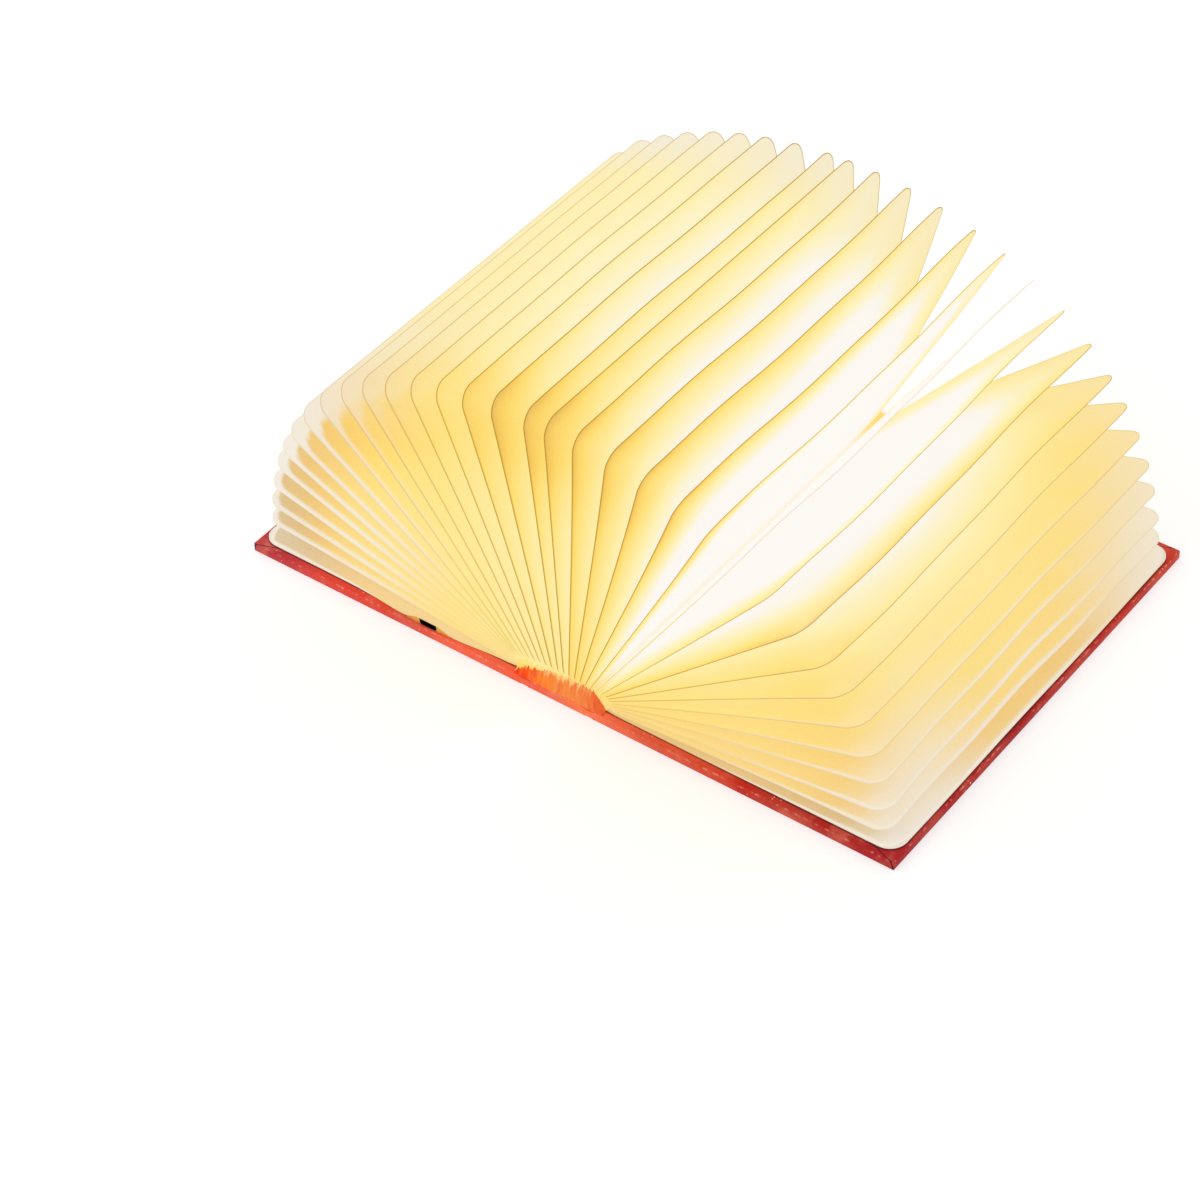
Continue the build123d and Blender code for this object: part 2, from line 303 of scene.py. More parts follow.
class Recipe:
    """A material under construction: a Principled shader and the nodes that feed it."""

    def __init__(self, name: str) -> None:
        """Start a material with an empty tree but for its shader and output.

        Args:
            name: Name of the material.
        """
        self.material = bpy.data.materials.new(name)
        self.material.use_nodes = True
        self.tree = self.material.node_tree
        self.tree.nodes.clear()
        self.shader = self.node("ShaderNodeBsdfPrincipled")
        self.output = self.node("ShaderNodeOutputMaterial")
        self.tree.links.new(self.shader.outputs["BSDF"], self.output.inputs["Surface"])

    def node(self, kind: str, **settings: object) -> bpy.types.Node:
        """Add a node and set its own properties.

        Args:
            kind: Blender's name for the node's type.
            **settings: Values for its properties.

        Returns:
            The node.
        """
        made = self.tree.nodes.new(kind)
        for name, value in settings.items():
            setattr(made, name, value)
        return made

    def feed(self, target: Socket, value: object) -> None:
        """Link a socket to another, or give it a plain value.

        Args:
            target: The socket to feed.
            value: Another socket or a value.
        """
        if isinstance(value, bpy.types.NodeSocket):
            self.tree.links.new(value, target)
        else:
            target.default_value = value

    def calc(self, operation: str, *values: object) -> Socket:
        """Calculate with one Math node.

        Args:
            operation: Blender's name for the operation.
            *values: Its one or two terms.

        Returns:
            The result's socket.
        """
        made = self.node("ShaderNodeMath", operation=operation)
        for place, value in enumerate(values):
            self.feed(made.inputs[place], value)
        return made.outputs[0]

    def times(self, first: object, *others: object) -> Socket:
        """Multiply two or more terms.

        Args:
            first: A socket or a number.
            *others: What it is multiplied by, one after another.

        Returns:
            The product's socket.
        """
        product = first
        for other in others:
            product = self.calc("MULTIPLY", product, other)
        return product

    def span(
        self, value: object, low: float, high: float, to_low: float = 0.0, to_high: float = 1.0
    ) -> Socket:
        """Map a range onto another, smoothly and with its ends held.

        Args:
            value: What is mapped.
            low: Value that gives to_low.
            high: Value that gives to_high.
            to_low: Result at low.
            to_high: Result at high.

        Returns:
            The result's socket.
        """
        made = self.node("ShaderNodeMapRange", interpolation_type="SMOOTHSTEP")
        for place, item in enumerate((value, low, high, to_low, to_high)):
            self.feed(made.inputs[place], item)
        return made.outputs[0]

    def place(self) -> Socket:
        """Object coordinates, in metres."""
        return self.node("ShaderNodeTexCoord").outputs["Object"]

    def axes(self) -> tuple[Socket, Socket, Socket]:
        """Split the object coordinates.

        Returns:
            The sockets of x, y and z.
        """
        made = self.node("ShaderNodeSeparateXYZ")
        self.feed(made.inputs[0], self.place())
        return made.outputs[0], made.outputs[1], made.outputs[2]

    def noise(self, scale: float, detail: float = 3.0, stretch: Sequence[float] = (1, 1, 1)) -> Socket:
        """Noise over the object coordinates, about 0.5.

        Args:
            scale: Patches per metre.
            detail: How many finer layers are added.
            stretch: Factors along x, y and z.

        Returns:
            The noise's height socket.
        """
        mapping = self.node("ShaderNodeMapping")
        self.feed(mapping.inputs["Vector"], self.place())
        mapping.inputs["Scale"].default_value = stretch
        made = self.node("ShaderNodeTexNoise")
        self.feed(made.inputs["Vector"], mapping.outputs[0])
        made.inputs["Scale"].default_value = scale
        made.inputs["Detail"].default_value = detail
        return made.outputs[0]

    def ramp(self, value: object, stops: Sequence[tuple[float, str]]) -> Socket:
        """Lay colours along a value.

        Args:
            value: Where along the ramp a place is, from 0 to 1.
            stops: Places on the ramp and their display colours.

        Returns:
            The colour's socket.
        """
        made = self.node("ShaderNodeValToRGB")
        elements = made.color_ramp.elements
        elements.remove(elements[1])
        elements[0].position = stops[0][0]
        elements[0].color = linear(stops[0][1])
        for position, colour in stops[1:]:
            elements.new(position).color = linear(colour)
        self.feed(made.inputs[0], value)
        return made.outputs[0]

    def mix(self, share: object, first: object, second: object) -> Socket:
        """Blend one colour into another.

        Args:
            share: How much of the second colour there is.
            first: The first colour.
            second: The second colour.

        Returns:
            The blended colour's socket.
        """
        made = self.node("ShaderNodeMix", data_type="RGBA")
        self.feed(made.inputs[0], share)
        self.feed(made.inputs[6], first)
        self.feed(made.inputs[7], second)
        return made.outputs[2]

    def attribute(self, name: str) -> Socket:
        """A number that the piece stores for each vertex."""
        return self.node("ShaderNodeAttribute", attribute_name=name).outputs["Fac"]

    def bump(self, height: object, distance: float) -> None:
        """Roughen the surface.

        Args:
            height: Height of each place, about 0 to 1.
            distance: What a height of 1 stands for, in metres.
        """
        made = self.node("ShaderNodeBump")
        made.inputs["Strength"].default_value = 1.0
        made.inputs["Distance"].default_value = distance
        self.feed(made.inputs["Height"], height)
        self.tree.links.new(made.outputs[0], self.shader.inputs["Normal"])

    def set(self, **values: object) -> None:
        """Feed the shader's sockets, named with underscores for spaces."""
        for name, value in values.items():
            self.feed(self.shader.inputs[name.replace("_", " ")], value)


@dataclass(frozen=True)
class LitPaper:
    """Warm translucent leaf paper that the light bar shines through.

    Its leaves store three numbers: warmth, how strongly the light reaches a place, pale, how much of
    the paper's own white shows there, and cut_edge_shade, the painted shade along the cut edge.

    Attributes:
        name: The record's slot.
        glow: Strength of the light the paper gives out.
        body: Share of its colour that also takes outside light.
        unevenness: How far the warmth varies from place to place.
        fibre_white: How much whiter single fibres are.
        warmth_stops: The paper's colours from least warm to warmest.
        paper_white: Its colour where it is pale.
        edge_shade_colour: Colour of the painted shade along its cut edge.
    """

    name: str = "lit_paper"
    glow: float = 0.67
    body: float = 0.35
    unevenness: float = 0.05
    fibre_white: float = 0.07
    warmth_stops: tuple[tuple[float, str], ...] = (
        (0.0, "C9B282"), (0.1, "DDB768"), (0.2, "EFC45A"), (0.3, "F8D264"), (0.45, "FDE179"),
        (0.6, "FDE998"), (0.75, "FEF1B6"), (0.88, "FBF4D2"), (1.0, "FAF7F3"),
    )
    paper_white: str = "F0EBE0"
    edge_shade_colour: str = "BE9008"

    def material(self) -> bpy.types.Material:
        """Build the paper's node tree.

        Returns:
            The finished material.
        """
        r = Recipe(self.name)
        fibre = r.noise(900.0, 4.0)
        cloudy = r.times(r.calc("SUBTRACT", r.noise(55.0, 2.0), 0.5), self.unevenness)
        lit = r.ramp(r.calc("ADD", r.attribute("warmth"), cloudy), self.warmth_stops)
        washed = r.mix(r.attribute("pale"), lit, linear(self.paper_white))
        grained = r.mix(r.span(fibre, 0.35, 0.75, 0.0, self.fibre_white), washed, linear("FFFFFF"))
        # Painted shade along the cut edge, strongest on the lit middle leaves.
        edged = r.mix(r.attribute("cut_edge_shade"), grained, linear(self.edge_shade_colour))
        r.set(Base_Color=r.mix(self.body, linear("000000"), edged), Emission_Color=edged)
        r.set(Emission_Strength=self.glow, Roughness=0.8, Specular_IOR_Level=0.06)
        r.bump(r.calc("ADD", r.times(fibre, 0.3), r.noise(220.0, 3.0)), 0.00008)
        return r.material


@dataclass(frozen=True)
class PrintedWrap:
    """Case paper printed with red and orange clouds and small stars, pale where its folds are rubbed.

    A painted highlight also lies along the folded edges, and painted shadow in the corner folds and round
    each flyleaf.

    Attributes:
        name: The record's slot.
        cover_top: Height of the covers' inner faces, in millimetres.
        half_length: Half the covers' length along the spine.
        fore_edge: Distance of a fore-edge from the middle of the spine.
        leaf_front_gap: From the cover's front edge to the flyleaf's.
        leaf_fore_gap: From the cover's fore-edge to the flyleaf's.
        leaf_corner: Radius of the flyleaf's outer corners.
        clouds: The print's colours from the left fore-edge to the right one.
        hazes: The rosy clouds of the outer faces, in the same order.
    """

    name: str = "printed_wrap"
    cover_top: float = 4.4
    half_length: float = 107.5
    fore_edge: float = 163.5
    leaf_front_gap: float = 3.5
    leaf_fore_gap: float = 1.5
    leaf_corner: float = 8.0
    clouds: tuple[tuple[float, str], ...] = (
        (0.0, "AE2438"), (0.1, "D64034"), (0.22, "DA3E2A"), (0.33, "EC6044"), (0.45, "EC5632"),
        (0.53, "F4784A"), (0.61, "E86442"), (0.69, "D8502F"), (0.79, "BC2410"),
        (0.92, "A61812"), (1.0, "A41A20"),
    )
    hazes: tuple[tuple[float, str], ...] = (
        (0.0, "C8507A"), (0.3, "D0566A"), (0.55, "EC8468"), (0.8, "D4585C"), (1.0, "B8406A"),
    )

    def material(self) -> bpy.types.Material:
        """Build the printed paper's node tree.

        Returns:
            The finished material.
        """
        r = Recipe(self.name)
        x, y, z = r.axes()
        drift = r.times(r.calc("SUBTRACT", r.noise(11.0, 5.0), 0.5), 0.1)
        forward = r.times(r.calc("ADD", y, self.half_length * MM), 0.35)
        toward = r.calc("SUBTRACT", r.calc("ADD", x, drift), r.times(r.span(x, 0.05, 0.16), forward))
        share = r.calc("DIVIDE", r.calc("ADD", toward, self.fore_edge * MM), 2 * self.fore_edge * MM)
        patches = r.span(r.noise(31.0, 6.0), 0.46, 0.74, 0.0, 0.4)
        clouded = r.mix(patches, r.ramp(share, self.clouds), linear("E0745A"))
        deep = r.mix(r.span(r.noise(23.0, 4.0, (1, 1.4, 1)), 0.52, 0.3, 0.0, 0.3), clouded, linear("8C0E20"))
        haze = r.times(r.span(r.noise(15.0, 6.0), 0.4, 0.66, 0.15, 0.6), r.span(z, 0.0006, 0.0002))
        hazed = r.mix(haze, deep, r.ramp(share, self.hazes))
        mottled = r.mix(r.span(r.noise(110.0, 6.0), 0.5, 0.74, 0.0, 0.3), hazed, linear("F08872"))
        from_front = r.calc("SUBTRACT", self.half_length * MM, r.calc("ABSOLUTE", y))
        from_fore = r.calc("SUBTRACT", self.fore_edge * MM, r.calc("ABSOLUTE", x))
        # Pale along the folded edges: rubbed print, and a painted highlight along the rounded edge.
        rubbed_and_highlit = r.mix(self.rub_and_highlight(r, from_front, from_fore, z), self.stars(r, mottled), linear("E89A84"))
        # Painted shadow: dark fold lines at the outer corners and a thin line round each flyleaf, mixed in as
        # 3A0A10.
        fold_shadows = self.fold_shadows(r, from_front, from_fore, z)
        dark = r.calc("MAXIMUM", fold_shadows, self.shade(r, from_front, from_fore, z))
        r.set(Base_Color=r.mix(dark, rubbed_and_highlit, linear("3A0A10")), Roughness=0.6, Specular_IOR_Level=0.16)
        r.bump(r.calc("ADD", r.noise(1400.0, 3.0), r.times(r.noise(170.0, 4.0), 3.0)), 0.00007)
        return r.material

    def stars(self, r: Recipe, under: Socket) -> Socket:
        """Scatter fine pale stars of two sizes over a colour.

        Args:
            r: The material under construction.
            under: The colour.

        Returns:
            The colour with its stars.
        """
        colour = under
        for scale, radius, tint in ((420.0, 0.16, "F0B0A0"), (150.0, 0.09, "FFE8DC")):
            cells = r.node("ShaderNodeTexVoronoi", feature="F1")
            cells.inputs["Scale"].default_value = scale
            r.feed(cells.inputs["Vector"], r.place())
            chosen = r.span(r.noise(scale * 0.31, 1.0), 0.52, 0.58)
            speck = r.span(cells.outputs["Distance"], radius, radius * 0.35)
            colour = r.mix(r.times(speck, chosen), colour, linear(tint))
        return colour

    def rub_and_highlight(self, r: Recipe, from_front: Socket, from_fore: Socket, z: Socket) -> Socket:
        """Find where the folded edges are pale: partly rubbed print, partly a painted highlight along the
        edge, broken up by noise.

        Args:
            r: The material under construction.
            from_front: Distance from the nearer of the front and back edges.
            from_fore: Distance from the fore-edge.
            z: Height.

        Returns:
            How pale the edge is, from rubbing and painted highlight.
        """
        outward = r.calc("MINIMUM", from_front, from_fore)
        from_fold = r.calc("MINIMUM", r.calc("SUBTRACT", self.cover_top * MM, z), z)
        squares = r.calc("ADD", r.calc("POWER", outward, 2.0), r.calc("POWER", from_fold, 2.0))
        near = r.span(r.calc("SQRT", squares), 0.0008, 0.0002)
        return r.times(near, r.span(r.noise(420.0, 3.0), 0.48, 0.7, 0.0, 0.6))

    def fold_shadows(self, r: Recipe, from_front: Socket, from_fore: Socket, z: Socket) -> Socket:
        """Find the painted shadow lines where the paper is folded over at the outer corners.

        Args:
            r: The material under construction.
            from_front: Distance from the nearer of the front and back edges.
            from_fore: Distance from the fore-edge.
            z: Height.

        Returns:
            How dark the painted shadow is there.
        """
        flap = r.calc("SUBTRACT", from_fore, r.calc("ADD", r.times(from_front, 2.8), 0.0014))
        above = r.times(r.span(r.calc("ABSOLUTE", flap), 0.0009, 0.0004), r.span(from_front, 0.0042, 0.0036))
        on_top = r.times(above, r.span(z, 0.0040, 0.0043))
        bow = r.times(r.calc("POWER", r.calc("DIVIDE", z, self.cover_top * MM), 2.0), 0.0011)
        fold = r.calc("ABSOLUTE", r.calc("SUBTRACT", r.calc("SUBTRACT", from_fore, bow), 0.0004))
        front = r.times(r.span(fold, 0.0005, 0.00028), r.span(from_front, 0.0006, 0.0003))
        return r.times(r.calc("MAXIMUM", on_top, front), 0.95)

    def shade(self, r: Recipe, from_front: Socket, from_fore: Socket, z: Socket) -> Socket:
        """Find the painted shadow on a cover's inner face: a thin dark line round the edge of its flyleaf,
        where the flyleaf shades it.

        Args:
            r: The material under construction.
            from_front: Distance from the nearer of the front and back edges.
            from_fore: Distance from the fore-edge.
            z: Height.

        Returns:
            How dark the painted shadow is there.
        """
        corner = self.leaf_corner * MM
        squares = [
            r.calc("POWER", r.calc("MAXIMUM", r.calc("SUBTRACT", corner + gap * MM, value), 0.0), 2.0)
            for value, gap in ((from_front, self.leaf_front_gap), (from_fore, self.leaf_fore_gap))
        ]
        inside = r.calc("SUBTRACT", corner, r.calc("SQRT", r.calc("ADD", *squares)))
        return r.times(r.span(inside, -0.0006, -0.0002), r.span(z, 0.0041, 0.0043), 0.62)


@dataclass(frozen=True)
class LiningCloth:
    """Book cloth at the spine, painted with the light bar's light: orange at its two ends, near white between
    them.

    The caps at the ends store one number, climb, which is 0 at their foot, 1 at their crest and 2 at the
    roots behind it.

    Attributes:
        name: The record's slot.
        glow: Strength of the light the cloth gives out.
        half_width: Half its width across the spine, in metres.
        lit_from: Distance of the caps' inner faces from the middle, in metres.
        across: Its colours from left to right.
    """

    name: str = "lining_cloth"
    glow: float = 0.6
    half_width: float = 0.0205
    lit_from: float = 0.1045
    across: tuple[tuple[float, str], ...] = (
        (0.0, "F5340A"), (0.16, "FA5A14"), (0.34, "FB8028"),
        (0.55, "F58E40"), (0.8, "F07E3C"), (1.0, "E8622E"),
    )

    def material(self) -> bpy.types.Material:
        """Build the cloth's node tree.

        Returns:
            The finished material.
        """
        r = Recipe(self.name)
        x, y, _ = r.axes()
        streaks = r.noise(520.0, 4.0, (1.0, 0.4, 0.3))
        wander = r.times(r.calc("SUBTRACT", r.noise(240.0, 5.0), 0.5), 0.014)
        spot = r.calc("ADD", r.calc("ADD", x, wander), self.half_width)
        tone = r.ramp(r.calc("DIVIDE", spot, 2 * self.half_width), self.across)
        streaked = r.mix(r.span(streaks, 0.45, 0.68, 0.0, 0.35), tone, linear("FFA658"))
        blots = r.span(r.noise(300.0, 4.0, (1, 0.5, 0.4)), 0.5, 0.66, 0.0, 0.45)
        blotted = r.mix(blots, streaked, linear("E5502C"))
        climb = r.attribute("climb")
        feathered = r.calc("ADD", climb, r.times(r.calc("SUBTRACT", streaks, 0.5), 0.9))
        middle = r.times(r.span(x, -0.013, -0.004), r.span(x, 0.018, 0.01))
        # Painted light from the light bar: pale yellow on the middle of the caps' crests and on the roof
        # behind their outer left ends, near white between the caps.
        lit_crest = r.mix(r.times(r.span(feathered, 0.72, 1.1, 0.0, 0.75), middle), blotted, linear("FFE392"))
        roof = r.times(r.span(climb, 1.02, 1.25), r.span(x, -0.011, -0.015))
        lit_roof = r.mix(roof, lit_crest, linear("FFD768"))
        lit_cloth = r.mix(self.light(r, y), lit_roof, self.lit_tone(r, y))
        weave = r.node("ShaderNodeTexWave", wave_type="BANDS", bands_direction="X")
        weave.inputs["Scale"].default_value = 300.0
        weave.inputs["Distortion"].default_value = 2.0
        r.feed(weave.inputs["Vector"], r.place())
        r.set(Base_Color=r.mix(0.4, linear("000000"), lit_cloth), Emission_Color=lit_cloth)
        r.set(Emission_Strength=self.glow, Roughness=0.85, Specular_IOR_Level=0.15)
        r.bump(r.calc("ADD", weave.outputs["Fac"], r.times(streaks, 2.0)), 0.0001)
        return r.material

    def light(self, r: Recipe, y: Socket) -> Socket:
        """Find where the cloth is lit: between the caps, and on the inner side of the back cap.

        Args:
            r: The material under construction.
            y: Place along the spine.

        Returns:
            How much of the lit colour there is.
        """
        inner = r.span(r.calc("ABSOLUTE", y), self.lit_from, self.lit_from - 0.0009)
        facing = r.node("ShaderNodeSeparateXYZ")
        r.feed(facing.inputs[0], r.node("ShaderNodeNewGeometry").outputs["Normal"])
        outward = r.times(r.calc("SIGN", y), facing.outputs[1])
        back = r.times(r.span(outward, 0.5, 0.1), r.span(y, 0.0, 0.01))
        return r.calc("MAXIMUM", inner, back)

    def lit_tone(self, r: Recipe, y: Socket) -> Socket:
        """The lit cloth's colour, whiter towards the middle of the spine."""
        return r.mix(r.span(r.calc("ABSOLUTE", y), self.lit_from, 0.08), linear("FFE48E"), linear("FFF8E6"))


@dataclass(frozen=True)
class GoldFoil:
    """Stamped gold foil that turns green and rose where the light catches it.

    Attributes:
        tones: Its colours from one patch to the next.
    """

    tones: tuple[tuple[float, str], ...] = (
        (0.0, "D9A520"), (0.42, "E9BE2E"), (0.55, "F2D24A"),
        (0.64, "C9DC62"), (0.72, "7FD8A0"), (0.84, "D8A5B0"),
    )

    def material(self) -> bpy.types.Material:
        """Build the foil's node tree.

        Returns:
            The finished material.
        """
        r = Recipe("gold_foil")
        wrinkle = r.noise(1500.0, 3.0)
        rough = r.span(wrinkle, 0.3, 0.7, 0.2, 0.36)
        r.set(Base_Color=r.ramp(r.noise(26.0, 3.0), self.tones), Metallic=1.0, Roughness=rough)
        r.bump(wrinkle, 0.00002)
        return r.material


@dataclass(frozen=True)
class PlainFinish:
    """A moulded, pressed or plated finish: one colour broken up by mottling and a fine surface.

    Attributes:
        name: The record's slot.
        colour: The main colour.
        mottle: The colour of its patches.
        roughness: How dull the surface is.
        metallic: 1 for bare metal.
        grain: Fine marks per metre.
        depth: Height of the marks, in metres.
        spread: How strong the patches are.
        stretch: Factors of the marks along x, y and z.
        glow: Strength of its light: the phosphor's and the diffuser's own, and on other parts painted light
            from the lamp.
        coat: Weight of a clear coat.
    """

    name: str
    colour: str
    mottle: str
    roughness: float = 0.5
    metallic: float = 0.0
    grain: float = 600.0
    depth: float = 0.00003
    spread: float = 0.35
    stretch: tuple[float, float, float] = (1.0, 1.0, 1.0)
    glow: float = 0.0
    coat: float = 0.0

    def material(self) -> bpy.types.Material:
        """Build the finish's node tree.

        Returns:
            The finished material.
        """
        r = Recipe(self.name)
        patches = r.noise(self.grain * 0.2, 4.0, self.stretch)
        fine = r.noise(self.grain, 3.0, self.stretch)
        tone = r.mix(r.span(patches, 0.35, 0.7, 0.0, self.spread), linear(self.colour), linear(self.mottle))
        rough = r.span(fine, 0.3, 0.7, self.roughness * 0.85, min(1.0, self.roughness * 1.15))
        r.set(Base_Color=tone, Roughness=rough, Metallic=self.metallic, Coat_Weight=self.coat)
        if self.glow:
            r.set(Emission_Color=tone, Emission_Strength=self.glow)
        r.bump(fine, self.depth)
        return r.material


PLAIN_FINISHES = (
    PlainFinish("grey_board", "A49A88", "8A7F70", roughness=0.9, grain=900.0, depth=0.00006),
    # The cream paper, circuit board and amber plastic glow with painted light from the lamp; they are no
    # lamps.
    PlainFinish("cream_paper", "F4E6C4", "EBD9AE", roughness=0.85, grain=800.0, glow=0.12),
    PlainFinish("channel_plastic", "E9E6DC", "D9D4C6", roughness=0.45),
    PlainFinish("circuit_board", "F2EFE6", "DAD6C8", roughness=0.4, glow=0.3),
    PlainFinish("control_circuit", "16542E", "0F3E22", roughness=0.35, coat=0.4),
    PlainFinish("led_phosphor", "FFE08A", "FFCB52", roughness=0.3, glow=6.0),
    PlainFinish("diffuser", "FFEFC2", "FFE4A4", roughness=0.6, glow=2.2),
    PlainFinish("amber_plastic", "D99B3F", "B97A26", roughness=0.42, coat=0.2, glow=0.05),
    PlainFinish("chip", "17171A", "242428", roughness=0.5),
    PlainFinish("battery_foil", "C3C6CA", "A9ADB2", roughness=0.32, metallic=0.85, grain=1200.0),
    PlainFinish("socket_steel", "1C1B1D", "0E0E10", roughness=0.3, metallic=0.6, stretch=(1, 6, 1)),
    PlainFinish("socket_plastic", "0D0D0E", "1B1B1C", roughness=0.55),
    PlainFinish("ribbon_film", "D08A36", "B3702A", roughness=0.4, coat=0.3),
    PlainFinish("magnet_nickel", "C9C9CC", "B4B4B8", roughness=0.2, metallic=1.0),
)


class Wardrobe:
    """The finished materials by the record's slot names, each built once."""

    def __init__(self) -> None:
        """Build every material."""
        finishes = (LitPaper(), PrintedWrap(), LiningCloth(), *PLAIN_FINISHES)
        self.materials = {finish.name: finish.material() for finish in finishes}
        self.foil = GoldFoil().material()

    def dress(self, piece: Piece, slot: str) -> None:
        """Give a piece a finish.

        Args:
            piece: The piece.
            slot: The record's name for the finish.
        """
        piece.data.materials.clear()
        piece.data.materials.append(self.materials[slot])

    def dress_nodes(self) -> None:
        """Give every node of the frame the finish that the record names for it."""
        for part in frame["record"]["subparts"]:
            self.dress(frame["nodes"][part["node"]], part["material_slot"])


# Camera, floor and light


@dataclass(frozen=True)
class PhotoCamera:
    """The camera, placed so that the open book's corners fall where the photograph has them.

    Attributes:
        azimuth: Angle round the book from its front, in degrees.
        elevation: Angle above the floor.
        roll: Turn about the line of sight.
        distance: From the middle of the book, in metres.
        aside: How far the camera stands to the right of that line.
        above: How far it stands above it.
        focal_share: Focal length over the image's width.
        sensor: Width of the sensor, in millimetres.
    """

    azimuth: float = 39.967
    elevation: float = 42.757
    roll: float = -3.997
    distance: float = 1.446686
    aside: float = -0.047293
    above: float = -0.019318
    focal_share: float = 2.852545
    sensor: float = 36.0

    def add(self) -> None:
        """Create the camera and make it the scene's."""
        a, e, turn = (math.radians(v) for v in (self.azimuth, self.elevation, self.roll))
        back = Vector((math.sin(a) * math.cos(e), -math.cos(a) * math.cos(e), math.sin(e)))
        level = Vector((math.cos(a), math.sin(a), 0))
        upright = back.cross(level)
        right = math.cos(turn) * level + math.sin(turn) * upright
        up = -math.sin(turn) * level + math.cos(turn) * upright
        data = bpy.data.cameras.new("photo_camera")
        data.sensor_width = self.sensor
        data.lens = self.sensor * self.focal_share
        data.clip_start = 0.01
        data.clip_end = 50.0
        camera = bpy.data.objects.new("photo_camera", data)
        bpy.context.scene.collection.objects.link(camera)
        turned = Matrix((right, up, back)).transposed().to_4x4()
        turned.translation = right * self.aside + up * self.above + back * self.distance
        camera.matrix_world = turned
        bpy.context.scene.camera = camera


@dataclass(frozen=True)
class Studio:
    """A plain white floor, seen only from above, under an even soft light.

    Attributes:
        floor_size: Side of the floor, in metres.
        floor_glow: How much light the floor gives by itself, so that it stays white.
        sky: Strength of the light from all sides.
        key_watts: Power of the large lamp.
        key_place: Where the lamp hangs.
        key_size: Side of the lamp.
    """

    floor_size: float = 8.0
    floor_glow: float = 0.6
    sky: float = 0.98
    key_watts: float = 6.0
    key_place: tuple[float, float, float] = (-0.7, -1.0, 1.5)
    key_size: float = 1.2

    def add(self) -> None:
        """Create the floor, the sky and one large soft lamp."""
        deselect_all()
        bpy.ops.mesh.primitive_plane_add(size=self.floor_size, location=(0, 0, -0.0001))
        floor = bpy.context.object
        floor.name = "floor"
        r = Recipe("floor_paint")
        pale = r.mix(r.span(r.noise(3.0, 2.0), 0.3, 0.7), linear("F8F8F8"), linear("F4F4F4"))
        r.set(Base_Color=r.mix(0.5, linear("000000"), pale), Roughness=0.9, Specular_IOR_Level=0.1)
        r.set(Emission_Color=pale, Emission_Strength=self.floor_glow)
        above = r.node("ShaderNodeMixShader")
        r.feed(above.inputs[0], r.node("ShaderNodeNewGeometry").outputs["Backfacing"])
        r.feed(above.inputs[1], r.shader.outputs[0])
        r.feed(above.inputs[2], r.node("ShaderNodeBsdfTransparent").outputs[0])
        r.feed(r.output.inputs["Surface"], above.outputs[0])
        floor.data.materials.append(r.material)
        world = bpy.data.worlds.new("studio_sky")
        bpy.context.scene.world = world
        world.use_nodes = True
        sky = world.node_tree.nodes["Background"]
        sky.inputs["Color"].default_value = (1.0, 1.0, 1.0, 1.0)
        sky.inputs["Strength"].default_value = self.sky
        bpy.ops.object.light_add(type="AREA", location=self.key_place)
        key = bpy.context.object
        key.name = "key_light"
        key.data.size = self.key_size
        key.data.energy = self.key_watts
        key.rotation_euler = (Vector((0, 0, 0.05)) - key.location).to_track_quat("-Z", "Y").to_euler()
        bpy.context.scene.view_settings.view_transform = "Standard"


# The leaves

LEFT_FLYLEAF = -17
RIGHT_FLYLEAF = 16


@dataclass(frozen=True)
class Glow:
    """How the light reaches one leaf, as numbers between 0 and 1.

    Attributes:
        root: Heat at the front edge, near the root.
        corner: Heat at the outer front corner.
        middle: Heat half-way along the fore-edge.
        back: Heat at the outer back corner.
        rise: How much hotter it is a little way in from the edge.
        core: How much hotter still it is deep between the leaves.
        rim: How white the outermost few millimetres are.
        front_pale: How white the paper is round the front corner.
        back_pale: How white it is round the back corner.
        line: How strong the painted shade along the cut edge is.
    """

    root: float
    corner: float
    middle: float
    back: float
    rise: float
    core: float
    rim: float
    front_pale: float
    back_pale: float
    line: float


